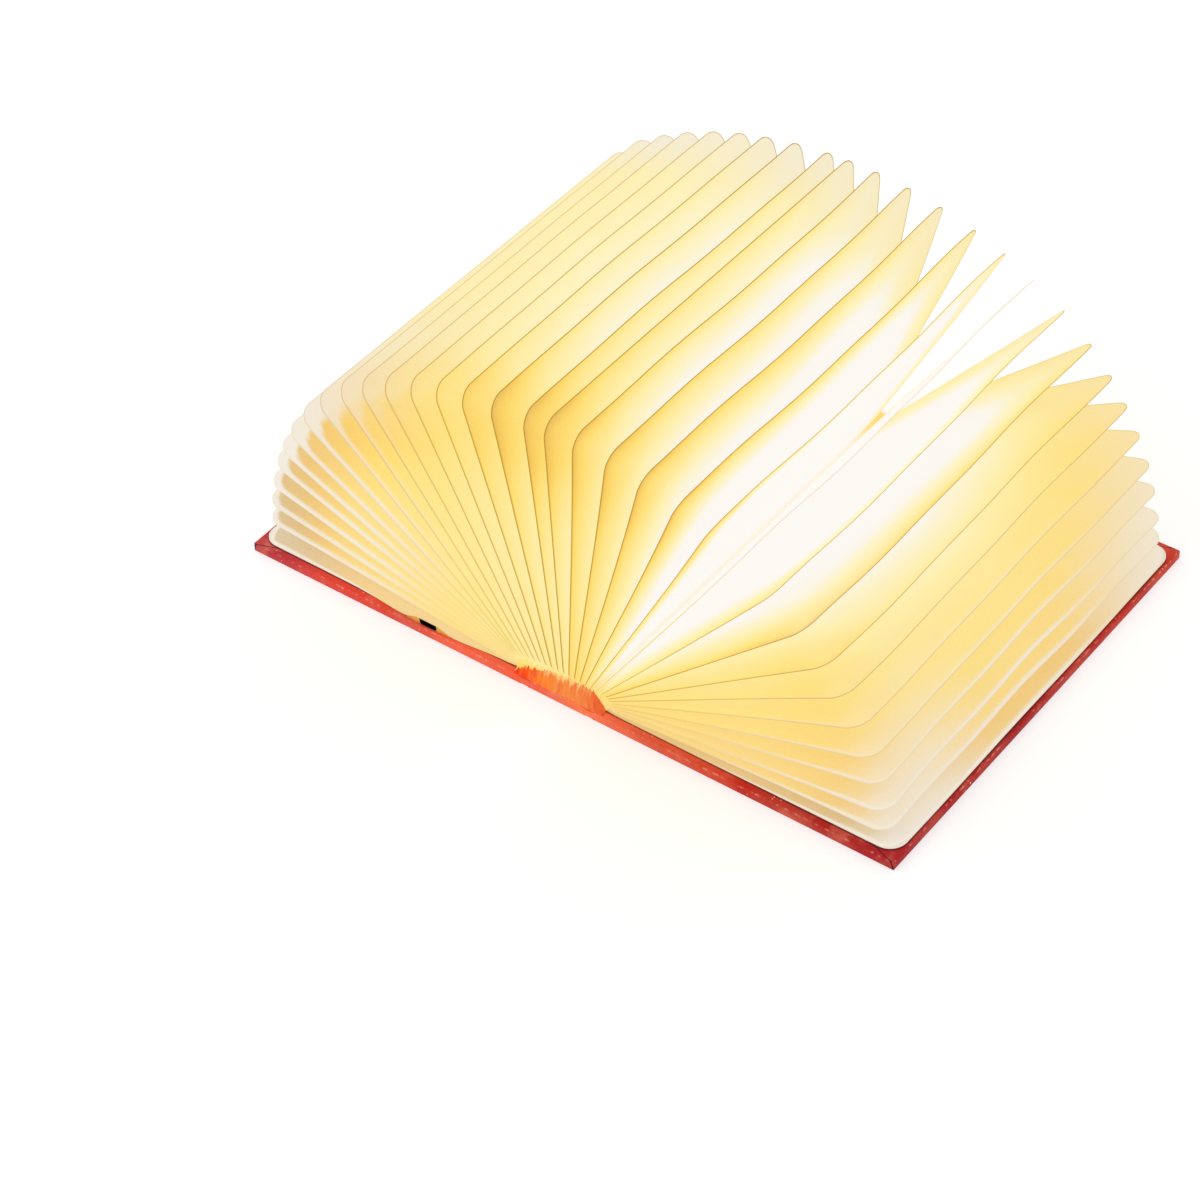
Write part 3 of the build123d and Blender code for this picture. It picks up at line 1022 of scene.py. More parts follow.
GLOW_PLACES = (
    LEFT_FLYLEAF, -16, -14, -12, -10, -7, -4, -2, 0, 1, 3, 4, 5, 6, 7, 8, 9, 11, 13, 14, 15, RIGHT_FLYLEAF,
)
GLOWS = (
    Glow(0.22, 0.00, 0.26, 0.60, 0.04, 0.05, 0.95, 0.30, 0.10, 0.10),
    Glow(0.42, 0.02, 0.38, 0.74, 0.04, 0.08, 0.95, 0.85, 0.05, 0.10),
    Glow(0.46, 0.05, 0.38, 0.74, 0.05, 0.08, 0.90, 1.00, 0.10, 0.10),
    Glow(0.48, 0.10, 0.62, 0.72, 0.07, 0.08, 0.72, 1.00, 0.20, 0.12),
    Glow(0.53, 0.12, 0.70, 0.72, 0.08, 0.10, 0.45, 0.90, 0.45, 0.25),
    Glow(0.62, 0.26, 0.68, 0.68, 0.12, 0.12, 0.15, 0.50, 0.85, 0.50),
    Glow(0.66, 0.42, 0.74, 0.72, 0.14, 0.14, 0.00, 0.05, 0.60, 0.80),
    Glow(0.55, 0.12, 0.63, 0.62, 0.34, 0.16, 0.00, 0.00, 0.75, 1.00),
    Glow(0.58, 0.10, 0.50, 0.58, 0.35, 0.18, 0.00, 0.00, 0.65, 1.00),
    Glow(0.38, 0.12, 0.50, 0.56, 0.45, 0.20, 0.00, 0.00, 0.60, 1.00),
    Glow(0.36, 0.12, 0.34, 0.50, 0.42, 0.25, 0.00, 0.00, 0.50, 1.00),
    Glow(0.38, 0.10, 0.34, 0.50, 0.50, 0.25, 0.00, 0.00, 0.30, 1.00),
    Glow(0.34, 0.14, 0.60, 0.55, 0.62, 0.30, 0.00, 0.00, 0.25, 0.75),
    Glow(0.60, 0.85, 0.92, 0.80, 0.40, 0.20, 0.00, 0.00, 0.20, 0.45),
    Glow(0.48, 0.40, 0.68, 0.50, 0.40, 0.20, 0.05, 0.10, 0.35, 0.70),
    Glow(0.34, 0.14, 0.32, 0.42, 0.50, 0.20, 0.15, 0.20, 0.30, 0.80),
    Glow(0.47, 0.31, 0.60, 0.37, 0.27, 0.12, 0.15, 0.12, 0.36, 0.70),
    Glow(0.45, 0.34, 0.52, 0.38, 0.12, 0.09, 0.40, 0.32, 0.42, 0.40),
    Glow(0.38, 0.26, 0.41, 0.34, 0.06, 0.05, 0.75, 0.60, 0.70, 0.25),
    Glow(0.36, 0.22, 0.37, 0.31, 0.05, 0.03, 0.88, 0.75, 0.80, 0.20),
    Glow(0.35, 0.18, 0.34, 0.27, 0.04, 0.03, 0.90, 0.80, 0.85, 0.18),
    Glow(0.12, 0.05, 0.20, 0.18, 0.03, 0.02, 0.95, 0.85, 0.85, 0.15),
)


def glow_at(count: float) -> Glow:
    """The light on a leaf by its count from the middle, left of it negative."""
    table = np.array([list(vars(g).values()) for g in GLOWS])
    return Glow(*(float(np.interp(count, GLOW_PLACES, table[:, i])) for i in range(table.shape[1])))


@dataclass(frozen=True)
class LeafCut:
    """The outline of a leaf: a sheet with rounded outer corners, set back a little at its root.

    Attributes:
        depth: From the root to the fore-edge, in millimetres.
        length: Along the spine.
        corner: Radius of the two outer corners.
        set_back: How much shorter the sheet is at its root, at each end.
        thickness: Of both plies together.
    """

    depth: float
    length: float
    corner: float = 8.0
    set_back: float = 1.2
    thickness: float = 0.24

    def columns(self) -> list[float]:
        """Choose places along the spine, close together near the ends.

        Returns:
            The places, from the front to the back.
        """
        inset = (0, 0.3, 0.8, 1.6, 2.7, 4.1, 6, 8.5, 12, 17, 25, 36, 48, 61, 74, 86, 96)
        half = self.length / 2
        return [i - half for i in inset] + [0.0] + [half - i for i in reversed(inset)]

    def rows(self) -> list[float]:
        """Choose distances from the root, close together round the outer corners.

        Returns:
            The distances, from the root outward.
        """
        inner = [0, 1.5, 3.5, 6, 10, 16, 25, 36, 48, 61, 74, 86, 96, 104, 111, 117, 121.5, 125]
        arc = [math.sin(math.radians(10 * i)) for i in range(10)]
        start = self.depth - self.corner
        return [v for v in inner if v < start - 1] + [start + self.corner * a for a in arc]

    def half_length(self, distance: np.ndarray) -> np.ndarray:
        """Find half the sheet's length.

        Args:
            distance: Distances from the root.

        Returns:
            Half the length at each distance.
        """
        half = self.length / 2
        near = self.set_back * (1 - smoothstep(distance, 0.0, 7.0))
        beyond = np.clip(distance - (self.depth - self.corner), 0, self.corner)
        rounded = self.corner - np.sqrt(np.clip(self.corner**2 - beyond**2, 0, None))
        return half - near - rounded

    def inset(self, distance: np.ndarray, along: np.ndarray) -> np.ndarray:
        """Find how far places are inside the three free edges.

        Args:
            distance: Distance of each place from the root.
            along: Its place along the spine.

        Returns:
            The distance of each place from the nearest free edge.
        """
        half = self.length / 2
        side = half - np.abs(along)
        fore = self.depth - distance
        in_corner = (side < self.corner) & (fore < self.corner)
        round_gap = self.corner - np.hypot(self.corner - side, self.corner - fore)
        return np.clip(np.where(in_corner, round_gap, np.minimum(side, fore)), 0, None)


@dataclass
class LeafLight:
    """The light on one leaf, worked out for every vertex.

    Attributes:
        cut: The leaf's outline.
        count: Its count from the middle leaf, left of it negative.
        distance: Each vertex's distance from the root, in millimetres.
        along: Its place along the spine.
        plain: Where, from 0 to 1, the sheet has no white rim.
        heat_reach: How far the heat of an edge reaches inward.
        rise_reach: How soon the leaf gets hotter behind its edge.
        core: Where the heat deep between the leaves starts, and where it is full.
        margin_bend: Radius of the white margins at the front corner.
        front_margin: Width of the margin along the front edge.
    """

    cut: LeafCut
    count: int
    distance: np.ndarray
    along: np.ndarray
    plain: np.ndarray | float = 0.0
    heat_reach: float = 14.0
    rise_reach: float = 7.0
    core: tuple[float, float] = (8.0, 40.0)
    margin_bend: float = 9.0
    front_margin: float = 1.7

    def __post_init__(self) -> None:
        """Work out where on the leaf each vertex lies, and how low the leaf lies on the left."""
        self.glow = glow_at(self.count)
        self.from_front = self.along + self.cut.length / 2
        self.from_back = self.cut.length / 2 - self.along
        self.from_fore = self.cut.depth - self.distance
        self.inside = self.cut.inset(self.distance, self.along)
        self.share = np.clip(self.distance / self.cut.depth, 0, 1)
        self.reach = self.from_front / self.cut.length
        self.low_left = float(np.clip((-self.count - 6) / 4, 0, 1))

    def warmth(self) -> np.ndarray:
        """Find how strongly the light reaches each vertex.

        Returns:
            The warmth, about 0 to 1.
        """
        g = self.glow
        steep, late = np.array((0.0, 0.0, 0.15, 0.42, 0.85, 1.0)), np.array((0.0, 0.0, 0.05, 0.2, 0.6, 1.0))
        drop = (1 - self.low_left) * steep + self.low_left * late
        front = np.interp(self.share, (0, 0.22, 0.5, 0.68, 0.82, 1), g.root + (g.corner - g.root) * drop)
        to_middle, to_back = g.middle - g.corner, g.back - g.middle
        stops = (g.corner, g.corner, g.corner + to_middle * 0.72, g.corner + to_middle * 0.95)
        stops += (g.middle, g.middle + to_back * 0.8, g.back)
        fore = np.interp(self.reach, (0, 0.035, 0.16, 0.34, 0.5, 0.8, 1), stops)
        rear = np.interp(self.share, (0, 0.5, 1), (0.7, 0.35 + g.back / 2, g.back))
        edges = (self.from_front, self.from_fore, self.from_back)
        weights = [np.exp(-np.clip(gap, 0, None) / self.heat_reach) + 1e-4 for gap in edges]
        edge_heat = sum(w * heat for w, heat in zip(weights, (front, fore, rear))) / sum(weights)
        rise = g.rise * (1 - np.exp(-self.inside / self.rise_reach))
        deeper = rise + g.core * smoothstep(self.inside, *self.core)
        return edge_heat + deeper * (1 - 0.55 * smoothstep(self.reach, 0.7, 1.0))

    def rim(self) -> np.ndarray:
        """Find the white rim, which is wider at the fore-edge and weaker at the back.

        Returns:
            How white the rim is.
        """
        band = 0.55 + 1.25 * smoothstep(self.share, 0.55, 0.95)
        rim = self.glow.rim * (1 - smoothstep(self.inside - band, -0.4, 0.7)) * (1 - self.plain)
        return rim * smoothstep(self.share, 0.15, 0.65) * (1 - 0.45 * smoothstep(self.reach, 0.5, 0.9))

    def front_paleness(self) -> np.ndarray:
        """Find the paleness round the front corner: soft, or a sharp margin on the low left leaves.

        Returns:
            How pale the paper is.
        """
        frontward = 1 - 0.75 * smoothstep(self.reach, 0.12, 0.42)
        corner = 0.62 * (1 - smoothstep(np.hypot(self.from_front, self.from_fore), 5.0, 44.0))
        soft = 1 - smoothstep(self.from_fore, *((9.0, 12.5) if self.count < 0 else (3.0, 26.0)))
        tip = float(np.interp(-self.count, (8, 10, 12, 14, 16), (12.3, 8.8, 5.7, 2.3, 1.2)))
        past_fore = np.clip(self.margin_bend - (self.from_fore - tip), 0, None)
        past_front = np.clip(self.margin_bend - (self.from_front - self.front_margin), 0, None)
        sharp = 1 - smoothstep(self.margin_bend - np.hypot(past_fore, past_front), -0.7, 0.9)
        sharp = sharp * smoothstep(self.share, 0.15, 0.65) * frontward
        soft = np.maximum(corner, soft * frontward)
        return self.glow.front_pale * ((1 - self.low_left) * soft + self.low_left * sharp)

    def paleness(self) -> np.ndarray:
        """Find how much of the paper's own white shows.

        Returns:
            The paleness, 0 to 1.
        """
        places, least = (-17, -16, -11, -8, 8, 12, 14), (0.3, 0.2, 0.16, 0, 0, 0.13, 0.2)
        overall = float(np.interp(self.count, places, least))
        back_start = float(np.interp(self.count, (10, 13), (0.76, 0.5)))
        back = smoothstep(self.reach, back_start, 1.0) * smoothstep(self.share, 0.4, 1.0)
        back = self.glow.back_pale * back
        pale = np.maximum(np.maximum(self.front_paleness(), overall), back)
        return np.clip(np.maximum(self.rim(), pale), 0, 1)

    def lay(self, piece: Piece) -> None:
        """Store warmth, paleness and the painted shade along the cut edge at every vertex.

        Args:
            piece: The leaf, still one layer.
        """
        write_attribute(piece, "warmth", self.warmth())
        write_attribute(piece, "pale", self.paleness())
        write_attribute(piece, "cut_edge_shade", self.glow.line * (1 - smoothstep(self.inside, 0.15, 0.5)))


@dataclass
class LeafFan:
    """The free leaves, each one hinged on its own root.

    Attributes:
        wardrobe: Where the finishes come from.
        corner: Radius of the leaves' outer corners, in millimetres.
        sway: Height of the long waves along a fore-edge.
        sway_length: Length of those waves.
        ripple: Height of the shorter waves.
        ripple_length: Length of those.
        bow: How far a leaf bows between its root and its fore-edge.
        perk: How far the lowest right leaf bows upward.
        closed_share: Not used; how much of a leaf's waves would be left when the book is shut.
        names: The leaves' nodes from left to right.
    """

    wardrobe: Wardrobe
    corner: float = 8.0
    sway: float = 1.0
    sway_length: float = 190.0
    ripple: float = 0.45
    ripple_length: float = 71.0
    bow: float = 0.9
    perk: float = 2.6
    closed_share: float = 0.05
    names: list[str] = field(default_factory=list)

    def __post_init__(self) -> None:
        """Find the leaves of the frame, from the left cover to the right one."""
        self.names = sorted(name for name in frame["nodes"] if name.startswith("page_"))

    def stance(self, node: str) -> tuple[float, float, float, float]:
        """Read a leaf's root and lean from its solid.

        Args:
            node: The leaf's node.

        Returns:
            Root x and z in millimetres, lean to the right in radians, and depth in millimetres.
        """
        points = points_of(frame["nodes"][node]) / MM
        middle = points.mean(axis=0)
        ends = np.linalg.svd((points - middle)[:, [0, 2]], full_matrices=False)[2][0]
        ends = ends if ends[1] > 0 else -ends
        reach = (points - middle)[:, [0, 2]] @ ends
        root = middle[[0, 2]] + ends * reach.min()
        return float(root[0]), float(root[1]), math.atan2(ends[0], ends[1]), float(np.ptp(reach))

    def wave(self, count: int, distance: np.ndarray, along: np.ndarray, depth: float) -> np.ndarray:
        """Find how far a leaf's surface leaves its plane.

        Args:
            count: The leaf's count from the middle one, left of it negative.
            distance: Distance of each place from the root, in millimetres.
            along: Its place along the spine.
            depth: The leaf's depth.

        Returns:
            The distance of each place to the right of the plane.
        """
        if count == 0:
            return 0.1 * np.sin(along / 40) * distance / depth
        out = distance / depth
        low = smoothstep(np.array(abs(count) / 15), 0.55, 1.0)
        slack = smoothstep(np.array(count / 14), 0.85, 1.0)
        low_sway, low_ripple = (0.5, 1.2) if count < 0 else (-0.3, 0.1)
        phase = 0.37 * count
        sway = self.sway * (0.7 + low_sway * low + 0.6 * slack)
        ripple = self.ripple * (0.5 + low_ripple * low + 0.9 * slack)
        waves = sway * np.sin(2 * math.pi * along / self.sway_length + phase)
        waves = waves + ripple * np.sin(2 * math.pi * along / self.ripple_length + 1.9 * phase + 1.0)
        bow = self.bow * np.sin(math.pi * out) * math.sin(0.9 * phase + 0.5) * out
        perk = self.perk * np.sin(math.pi / 2 * out) * min(max(count - 14, 0), 1)
        return out**1.7 * waves + bow - perk

    def build(self) -> list[Piece]:
        """Model every leaf, dress it and tie it to its body.

        Returns:
            The leaves from left to right.
        """
        fixed = frame["record"]["behaviour"]["bodies"]["spine"]
        middle = self.names.index(next(name for name in self.names if name in fixed))
        made = []
        for place, node in enumerate(self.names):
            count = place - middle
            root_x, root_z, lean, depth = self.stance(node)
            low, high = box_of(node)
            cut = LeafCut(depth, high.y - low.y, self.corner)
            piece, lines = add_grid(f"{node}_sheet", cut.columns(), cut.rows())
            distance = lines[:, 1]
            along = lines[:, 0] * cut.half_length(distance) / (cut.length / 2)
            outward = Vector((math.cos(lean), 0, -math.sin(lean)))
            rise = Vector((math.sin(lean), 0, math.cos(lean)))
            off = self.wave(count, distance, along, depth)
            points = np.array([root_x, 0, root_z]) + np.outer(distance, rise) + np.outer(off, outward)
            points[:, 1] = along
            move_points(piece, points * MM)
            LeafLight(cut, count, distance, along).lay(piece)
            thicken(piece, cut.thickness)
            self.wardrobe.dress(piece, "lit_paper")
            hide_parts(node)
            if count:
                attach(piece, node)
                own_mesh(piece)
            else:
                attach(piece, "spine")
            made.append(piece)
            log.info("leaf %s leans %.1f degrees", piece.name, math.degrees(lean))
        return made


@dataclass
class Flyleaves:
    """The two leaves that lie on the covers; the left one rises over the electronics tray.

    Attributes:
        wardrobe: Where the finishes come from.
        inner: Where a sheet starts, from the middle of the spine, in millimetres.
        spare: How far it reaches past the flat solid at the fore-edge.
        corner: Radius of the outer corners.
        lift: How far the sheet stands off the cover near its edges.
        slope: Width of the slope round the tray.
        clearance: How far the sheet is above the tray's lid.
        apron: How far the sheet reaches past its front edge over the tray.
        apron_line: Where, along the spine, that reach is full, and where it ends.
        brim: Half the width of the sheet's front edge that stays up over the socket.
        hem_line: Where, along the spine, the hem hangs, and where it starts.
        hem_lift: How far the hem stays above the cover beside the socket.
        beyond_hem: How far aside of the socket the hem ends, and the sheet is plain again.
        closed_share: Not used; how much of the right sheet's waves would be left when the book is shut.
    """

    wardrobe: Wardrobe
    inner: float = 21.9
    spare: float = 3.6
    corner: float = 8.0
    lift: float = 0.6
    slope: float = 16.0
    clearance: float = 0.34
    apron: float = 2.36
    apron_line: tuple[float, float] = (-104.2, -96.0)
    brim: float = 4.6
    hem_line: tuple[float, float] = (-103.87, -103.66)
    hem_lift: float = 0.8
    beyond_hem: tuple[float, float] = (30.0, 52.0)
    closed_share: float = 0.15

    def build(self, side: Side) -> Piece:
        """Model, dress and place one flyleaf.

        Args:
            side: The cover it lies on.

        Returns:
            The flyleaf.
        """
        node = f"{side.word}_flyleaf"
        low, high = box_of(node)
        outer = max(abs(low.x), abs(high.x)) + self.spare
        cut = LeafCut(outer - self.inner, high.y - low.y, self.corner, set_back=0.5, thickness=high.z - low.z)
        rows = sorted({*cut.rows(), *(float(v) for v in range(18, 76, 2))})
        hem = (round(low.y + 0.1 * i, 3) for i in range(1, 8))
        piece, lines = add_grid(f"{node}_sheet", sorted({*cut.columns(), *hem}), rows)
        distance = lines[:, 1]
        along = lines[:, 0] * cut.half_length(distance) / (cut.length / 2)
        reach = distance + self.inner
        height = (low.z + high.z) / 2 + self.rise(side, reach, along)
        count, plain = RIGHT_FLYLEAF, 0.0
        if side is Side.LEFT:
            count = LEFT_FLYLEAF
            along, height, plain = self.hang(reach, along, height)
        move_points(piece, np.column_stack([side.value * reach, along, height]) * MM)
        LeafLight(cut, count, distance, lines[:, 0], plain).lay(piece)
        thicken(piece, cut.thickness)
        self.wardrobe.dress(piece, "lit_paper")
        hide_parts(node)
        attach(piece, f"{side.word}_cover")
        if side is Side.RIGHT:
            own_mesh(piece)
        log.info("flyleaf %s", piece.name)
        return piece

    def hang(self, reach: np.ndarray, along: np.ndarray, height: np.ndarray) -> tuple[np.ndarray, ...]:
        """Draw the sheet forward over the tray, and let its hem down on both sides of the socket.

        Args:
            reach: Distance of each place from the middle of the spine.
            along: Its place along the spine.
            height: Its height.

        Returns:
            The new places along the spine, the new heights, and how near each place is to the tray.
        """
        socket_low, socket_high = box_of("usb_socket_shell")
        tray_low, tray_high = box_of("electronics_tray")
        aside = np.abs(reach + (socket_low.x + socket_high.x) / 2)
        half_tray = (tray_high.x - tray_low.x) / 2
        near = 1 - smoothstep(aside, half_tray + 0.8, half_tray + 1.7 * self.slope)
        ahead = along - near * self.apron * (1 - smoothstep(along, *self.apron_line))
        lying = box_of("left_flyleaf")[0].z + 0.14 + self.hem_lift * near
        beyond = smoothstep(aside, *self.beyond_hem)
        raised = np.maximum(1 - smoothstep(aside, self.brim, half_tray + 1.5), beyond)
        hem = lying + (height - lying) * raised
        front = 1 - smoothstep(along, *self.hem_line)
        return ahead, height + (hem - height) * front, near

    def over_tray(self, reach: np.ndarray, slope: float) -> np.ndarray:
        """Find the places over the tray's width.

        Args:
            reach: Distance of each place from the middle of the spine.
            slope: How far beside the tray it fades out.

        Returns:
            1 over the tray, and 0 past the slope.
        """
        low, high = box_of("electronics_tray")
        aside = np.clip(np.maximum(-high.x - reach, reach + low.x), 0, None)
        return 1 - smoothstep(aside, 0.0, slope)

    def rise(self, side: Side, reach: np.ndarray, along: np.ndarray) -> np.ndarray:
        """Find how far a sheet stands off its flat place: slack waves, and the hump over the tray.

        Args:
            side: The cover it lies on.
            reach: Distance of each place from the middle of the spine.
            along: Its place along the spine.

        Returns:
            The height of each place over the flat sheet.
        """
        wave = 0.5 + 0.5 * np.sin(along / 17.0 + reach / 60.0)
        if side is Side.RIGHT:
            return self.lift * wave * smoothstep(reach, 60.0, 150.0)
        tray_low, tray_high = box_of("electronics_tray")
        beyond = np.clip(np.maximum(tray_low.y - along, along - tray_high.y), 0, None)
        hump = self.over_tray(reach, self.slope) * (1 - smoothstep(beyond, 0.0, self.slope))
        clear = box_of("tray_lid")[1].z - box_of("left_flyleaf")[1].z + self.clearance
        return clear * hump + self.lift * wave * smoothstep(reach, 90.0, 156.0) * (1 - hump)


# The spine


@dataclass
class SpineCloths:
    """The cloths that hold the leaf roots, folded down between each two of them.

    Attributes:
        wardrobe: Where the finishes come from.
        end_y: Half the cloths' length, in millimetres.
        drop: How far the cloth lies under a leaf's root.
        sag: Depth of the folds between the leaves, as a share of their distance.
        thickness: Of the cloth.
        closed_share: Not used; the width that would be left when the book is shut.
    """

    wardrobe: Wardrobe
    end_y: float = 103.4
    drop: float = 0.32
    sag: float = 0.3
    thickness: float = 0.28
    closed_share: float = 0.18

    def profile(self, fan: LeafFan, side: Side) -> list[tuple[float, float]]:
        """Find the cloth's line from the light bar outward: up to each root and down between them.

        Args:
            fan: The leaves, for their roots.
            side: Which half of the spine.

        Returns:
            Places outward and up, in millimetres.
        """
        roots = [fan.stance(name)[:2] for name in fan.names]
        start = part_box("light_channel")[1].x / MM + 0.3
        own = sorted((side.value * x, z) for x, z in roots if side.value * x > start + 0.4)
        line = [(start, own[0][1] - self.drop)]
        for here, there in zip(own, own[1:]):
            gap = math.dist(here, there)
            normal = Vector((here[1] - there[1], there[0] - here[0])).normalized()
            middle_x, middle_z = (here[0] + there[0]) / 2, (here[1] + there[1]) / 2
            sink = self.sag * gap
            line.append((here[0], here[1] - self.drop))
            line.append((middle_x - normal.x * sink, middle_z - self.drop - normal.y * sink))
        last_x, last_z = own[-1]
        return line + [(last_x - 0.1, last_z - self.drop), (last_x + 0.35, last_z - 0.7)]

    def build(self, fan: LeafFan, side: Side) -> Piece:
        """Model, dress and place the cloth of one side.

        Args:
            fan: The leaves, for their roots.
            side: Which half of the spine.

        Returns:
            The cloth.
        """
        line = self.profile(fan, side)
        rows = np.linspace(-self.end_y, self.end_y, 9)
        piece, lines = add_grid(f"{side.word}_root_sheet", list(range(len(line))), rows)
        places = np.array(line)[lines[:, 0].astype(int)]
        move_points(piece, np.column_stack([side.value * places[:, 0], lines[:, 1], places[:, 1]]) * MM)
        thicken(piece, self.thickness, 55.0)
        self.wardrobe.dress(piece, "lining_cloth")
        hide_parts(f"{side.word}_root_cloth")
        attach(piece, "spine")
        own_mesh(piece)
        log.info("root cloth %s", piece.name)
        return piece


@dataclass
class SpineCaps:
    """The ragged cloth caps that close both ends of the spine in front of the leaf roots.

    Attributes:
        wardrobe: Where the finishes come from.
        foot_y: Where a cap stands on the spine, from the middle, in millimetres.
        foot_z: Height of its foot.
        crest_y: Where its crest leans against the leaves.
        thickness: Of the cloth.
        tooth: Height of the points that rise along the leaves.
        tooth_reach: Half a point's width at its foot.
        pleat: Height of the upright folds.
        closed_share: Not used; the width that would be left when the book is shut.
        root_y: Where the cap's roof ends, against the leaf roots.
        root_z: Height of that end, under the roots.
        turn_x: Where the row of roots starts to turn down.
        turn: Radius of that turn.
        left_crest: Height of the crest along the left half.
        right_crest: Height of the crest along the right half.
    """

    wardrobe: Wardrobe
    foot_y: float = 107.0
    foot_z: float = 4.5
    crest_y: float = 104.5
    thickness: float = 0.35
    tooth: float = 2.2
    tooth_reach: float = 0.75
    pleat: float = 0.16
    closed_share: float = 0.42
    root_y: float = 103.3
    root_z: float = 8.75
    turn_x: float = 19.0
    turn: float = 3.6
    left_crest: tuple[tuple[float, float], ...] = (
        (0, 12.4), (4, 11.5), (8, 10.0), (11, 8.9), (14, 7.9),
        (17, 7.2), (19, 6.6), (20.6, 5.8), (21.6, 4.8),
    )
    right_crest: tuple[tuple[float, float], ...] = (
        (0, 12.4), (4, 12.8), (9, 12.9), (14, 12.8), (17.5, 11.8),
        (19.5, 10.2), (21, 8.2), (22, 6.4), (22.8, 4.8),
    )

    def teeth(self, side: Side, across: np.ndarray) -> np.ndarray:
        """Find the height of the ragged points along the crest.

        Args:
            side: Which half of the cap.
            across: Places outward from the middle, in millimetres.

        Returns:
            The height of the points at each place.
        """
        chance = np.random.default_rng(7 + side.value)
        height = np.zeros(across.shape)
        place = 1.4
        while place < 21.0:
            tall = chance.uniform(0.35, 1.0) * self.tooth
            point = np.clip(1 - np.abs(across - place) / self.tooth_reach, 0, 1)
            height = np.maximum(height, tall * point)
            place += chance.uniform(1.1, 2.1)
        return height * smoothstep(across, 0.4, 1.4) * (1 - 0.6 * smoothstep(across, 19.0, 21.0))

    def build(self, side: Side, end: int) -> Piece:
        """Model, dress and place half of one cap.

        Args:
            side: Which half.
            end: -1 for the front end of the spine, 1 for the back.

        Returns:
            The half cap.
        """
        crest = self.left_crest if side is Side.LEFT else self.right_crest
        last = crest[-1][0]
        name = f"{side.word}_{'front' if end < 0 else 'back'}_cap"
        piece, lines = add_grid(name, np.linspace(0, last, 96), [*np.linspace(0, 1, 11), 1.3, 1.65, 2.0])
        across, climb = lines[:, 0], np.minimum(lines[:, 1], 1)
        behind = np.clip(lines[:, 1] - 1, 0, 1)
        top = np.interp(across, *zip(*crest)) + self.teeth(side, across) * climb**2
        pleats = (np.sin(across * 3.1) + 0.7 * np.sin(across * 5.3 + 1.0)) * smoothstep(across, 0.0, 2.0)
        bulge = self.pleat * pleats * np.sin(math.pi * np.clip(climb, 0, 1) * 0.8)
        bulge = bulge * (1 - 0.6 * smoothstep(across, 17.0, 20.0))
        stand = smoothstep(top, self.foot_z, self.foot_z + 5.0)
        lean = self.foot_y - (self.foot_y - self.crest_y) * climb**2 * stand + bulge
        height = self.foot_z + (top - self.foot_z) * climb
        past_turn = np.clip(across - self.turn_x, 0, None)
        root = self.root_z - self.turn + np.sqrt(np.clip(self.turn**2 - past_turn**2, 0, None))
        root = np.minimum(root, np.interp(across, *zip(*crest)) + 2.0)
        height += (root - height) * smoothstep(behind, 0.0, 0.9)
        lean += (self.root_y - lean) * behind
        move_points(piece, np.column_stack([side.value * across, end * lean, height]) * MM)
        write_attribute(piece, "climb", climb + behind)
        thicken(piece, self.thickness, 50.0)
        self.wardrobe.dress(piece, "lining_cloth")
        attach(piece, "spine")
        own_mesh(piece)
        log.info("cap %s", piece.name)
        return piece

    def tongue(self, end: int) -> Piece:
        """Model, dress and place the tongue of cloth from the end of the light bar to a cap.

        Args:
            end: -1 for the front end of the spine, 1 for the back.

        Returns:
            The tongue.
        """
        bar = box_of("light_diffuser")[1]
        half = box_of("light_channel")[1].x + 0.2
        name = f"{'front' if end < 0 else 'back'}_tongue"
        piece, lines = add_grid(name, np.linspace(-half, half, 13), np.linspace(0, 1, 9))
        reach = lines[:, 1]
        height = bar.z - 0.1 - 0.7 * reach**2 + 0.12 * np.sin(lines[:, 0] * 2.4)
        away = bar.y + 0.3 + (self.crest_y - bar.y - 0.5) * reach
        move_points(piece, np.column_stack([lines[:, 0], end * away, height]) * MM)
        thicken(piece, self.thickness, 50.0)
        self.wardrobe.dress(piece, "lining_cloth")
        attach(piece, "spine")
        log.info("tongue %s", piece.name)
        return piece


# The case


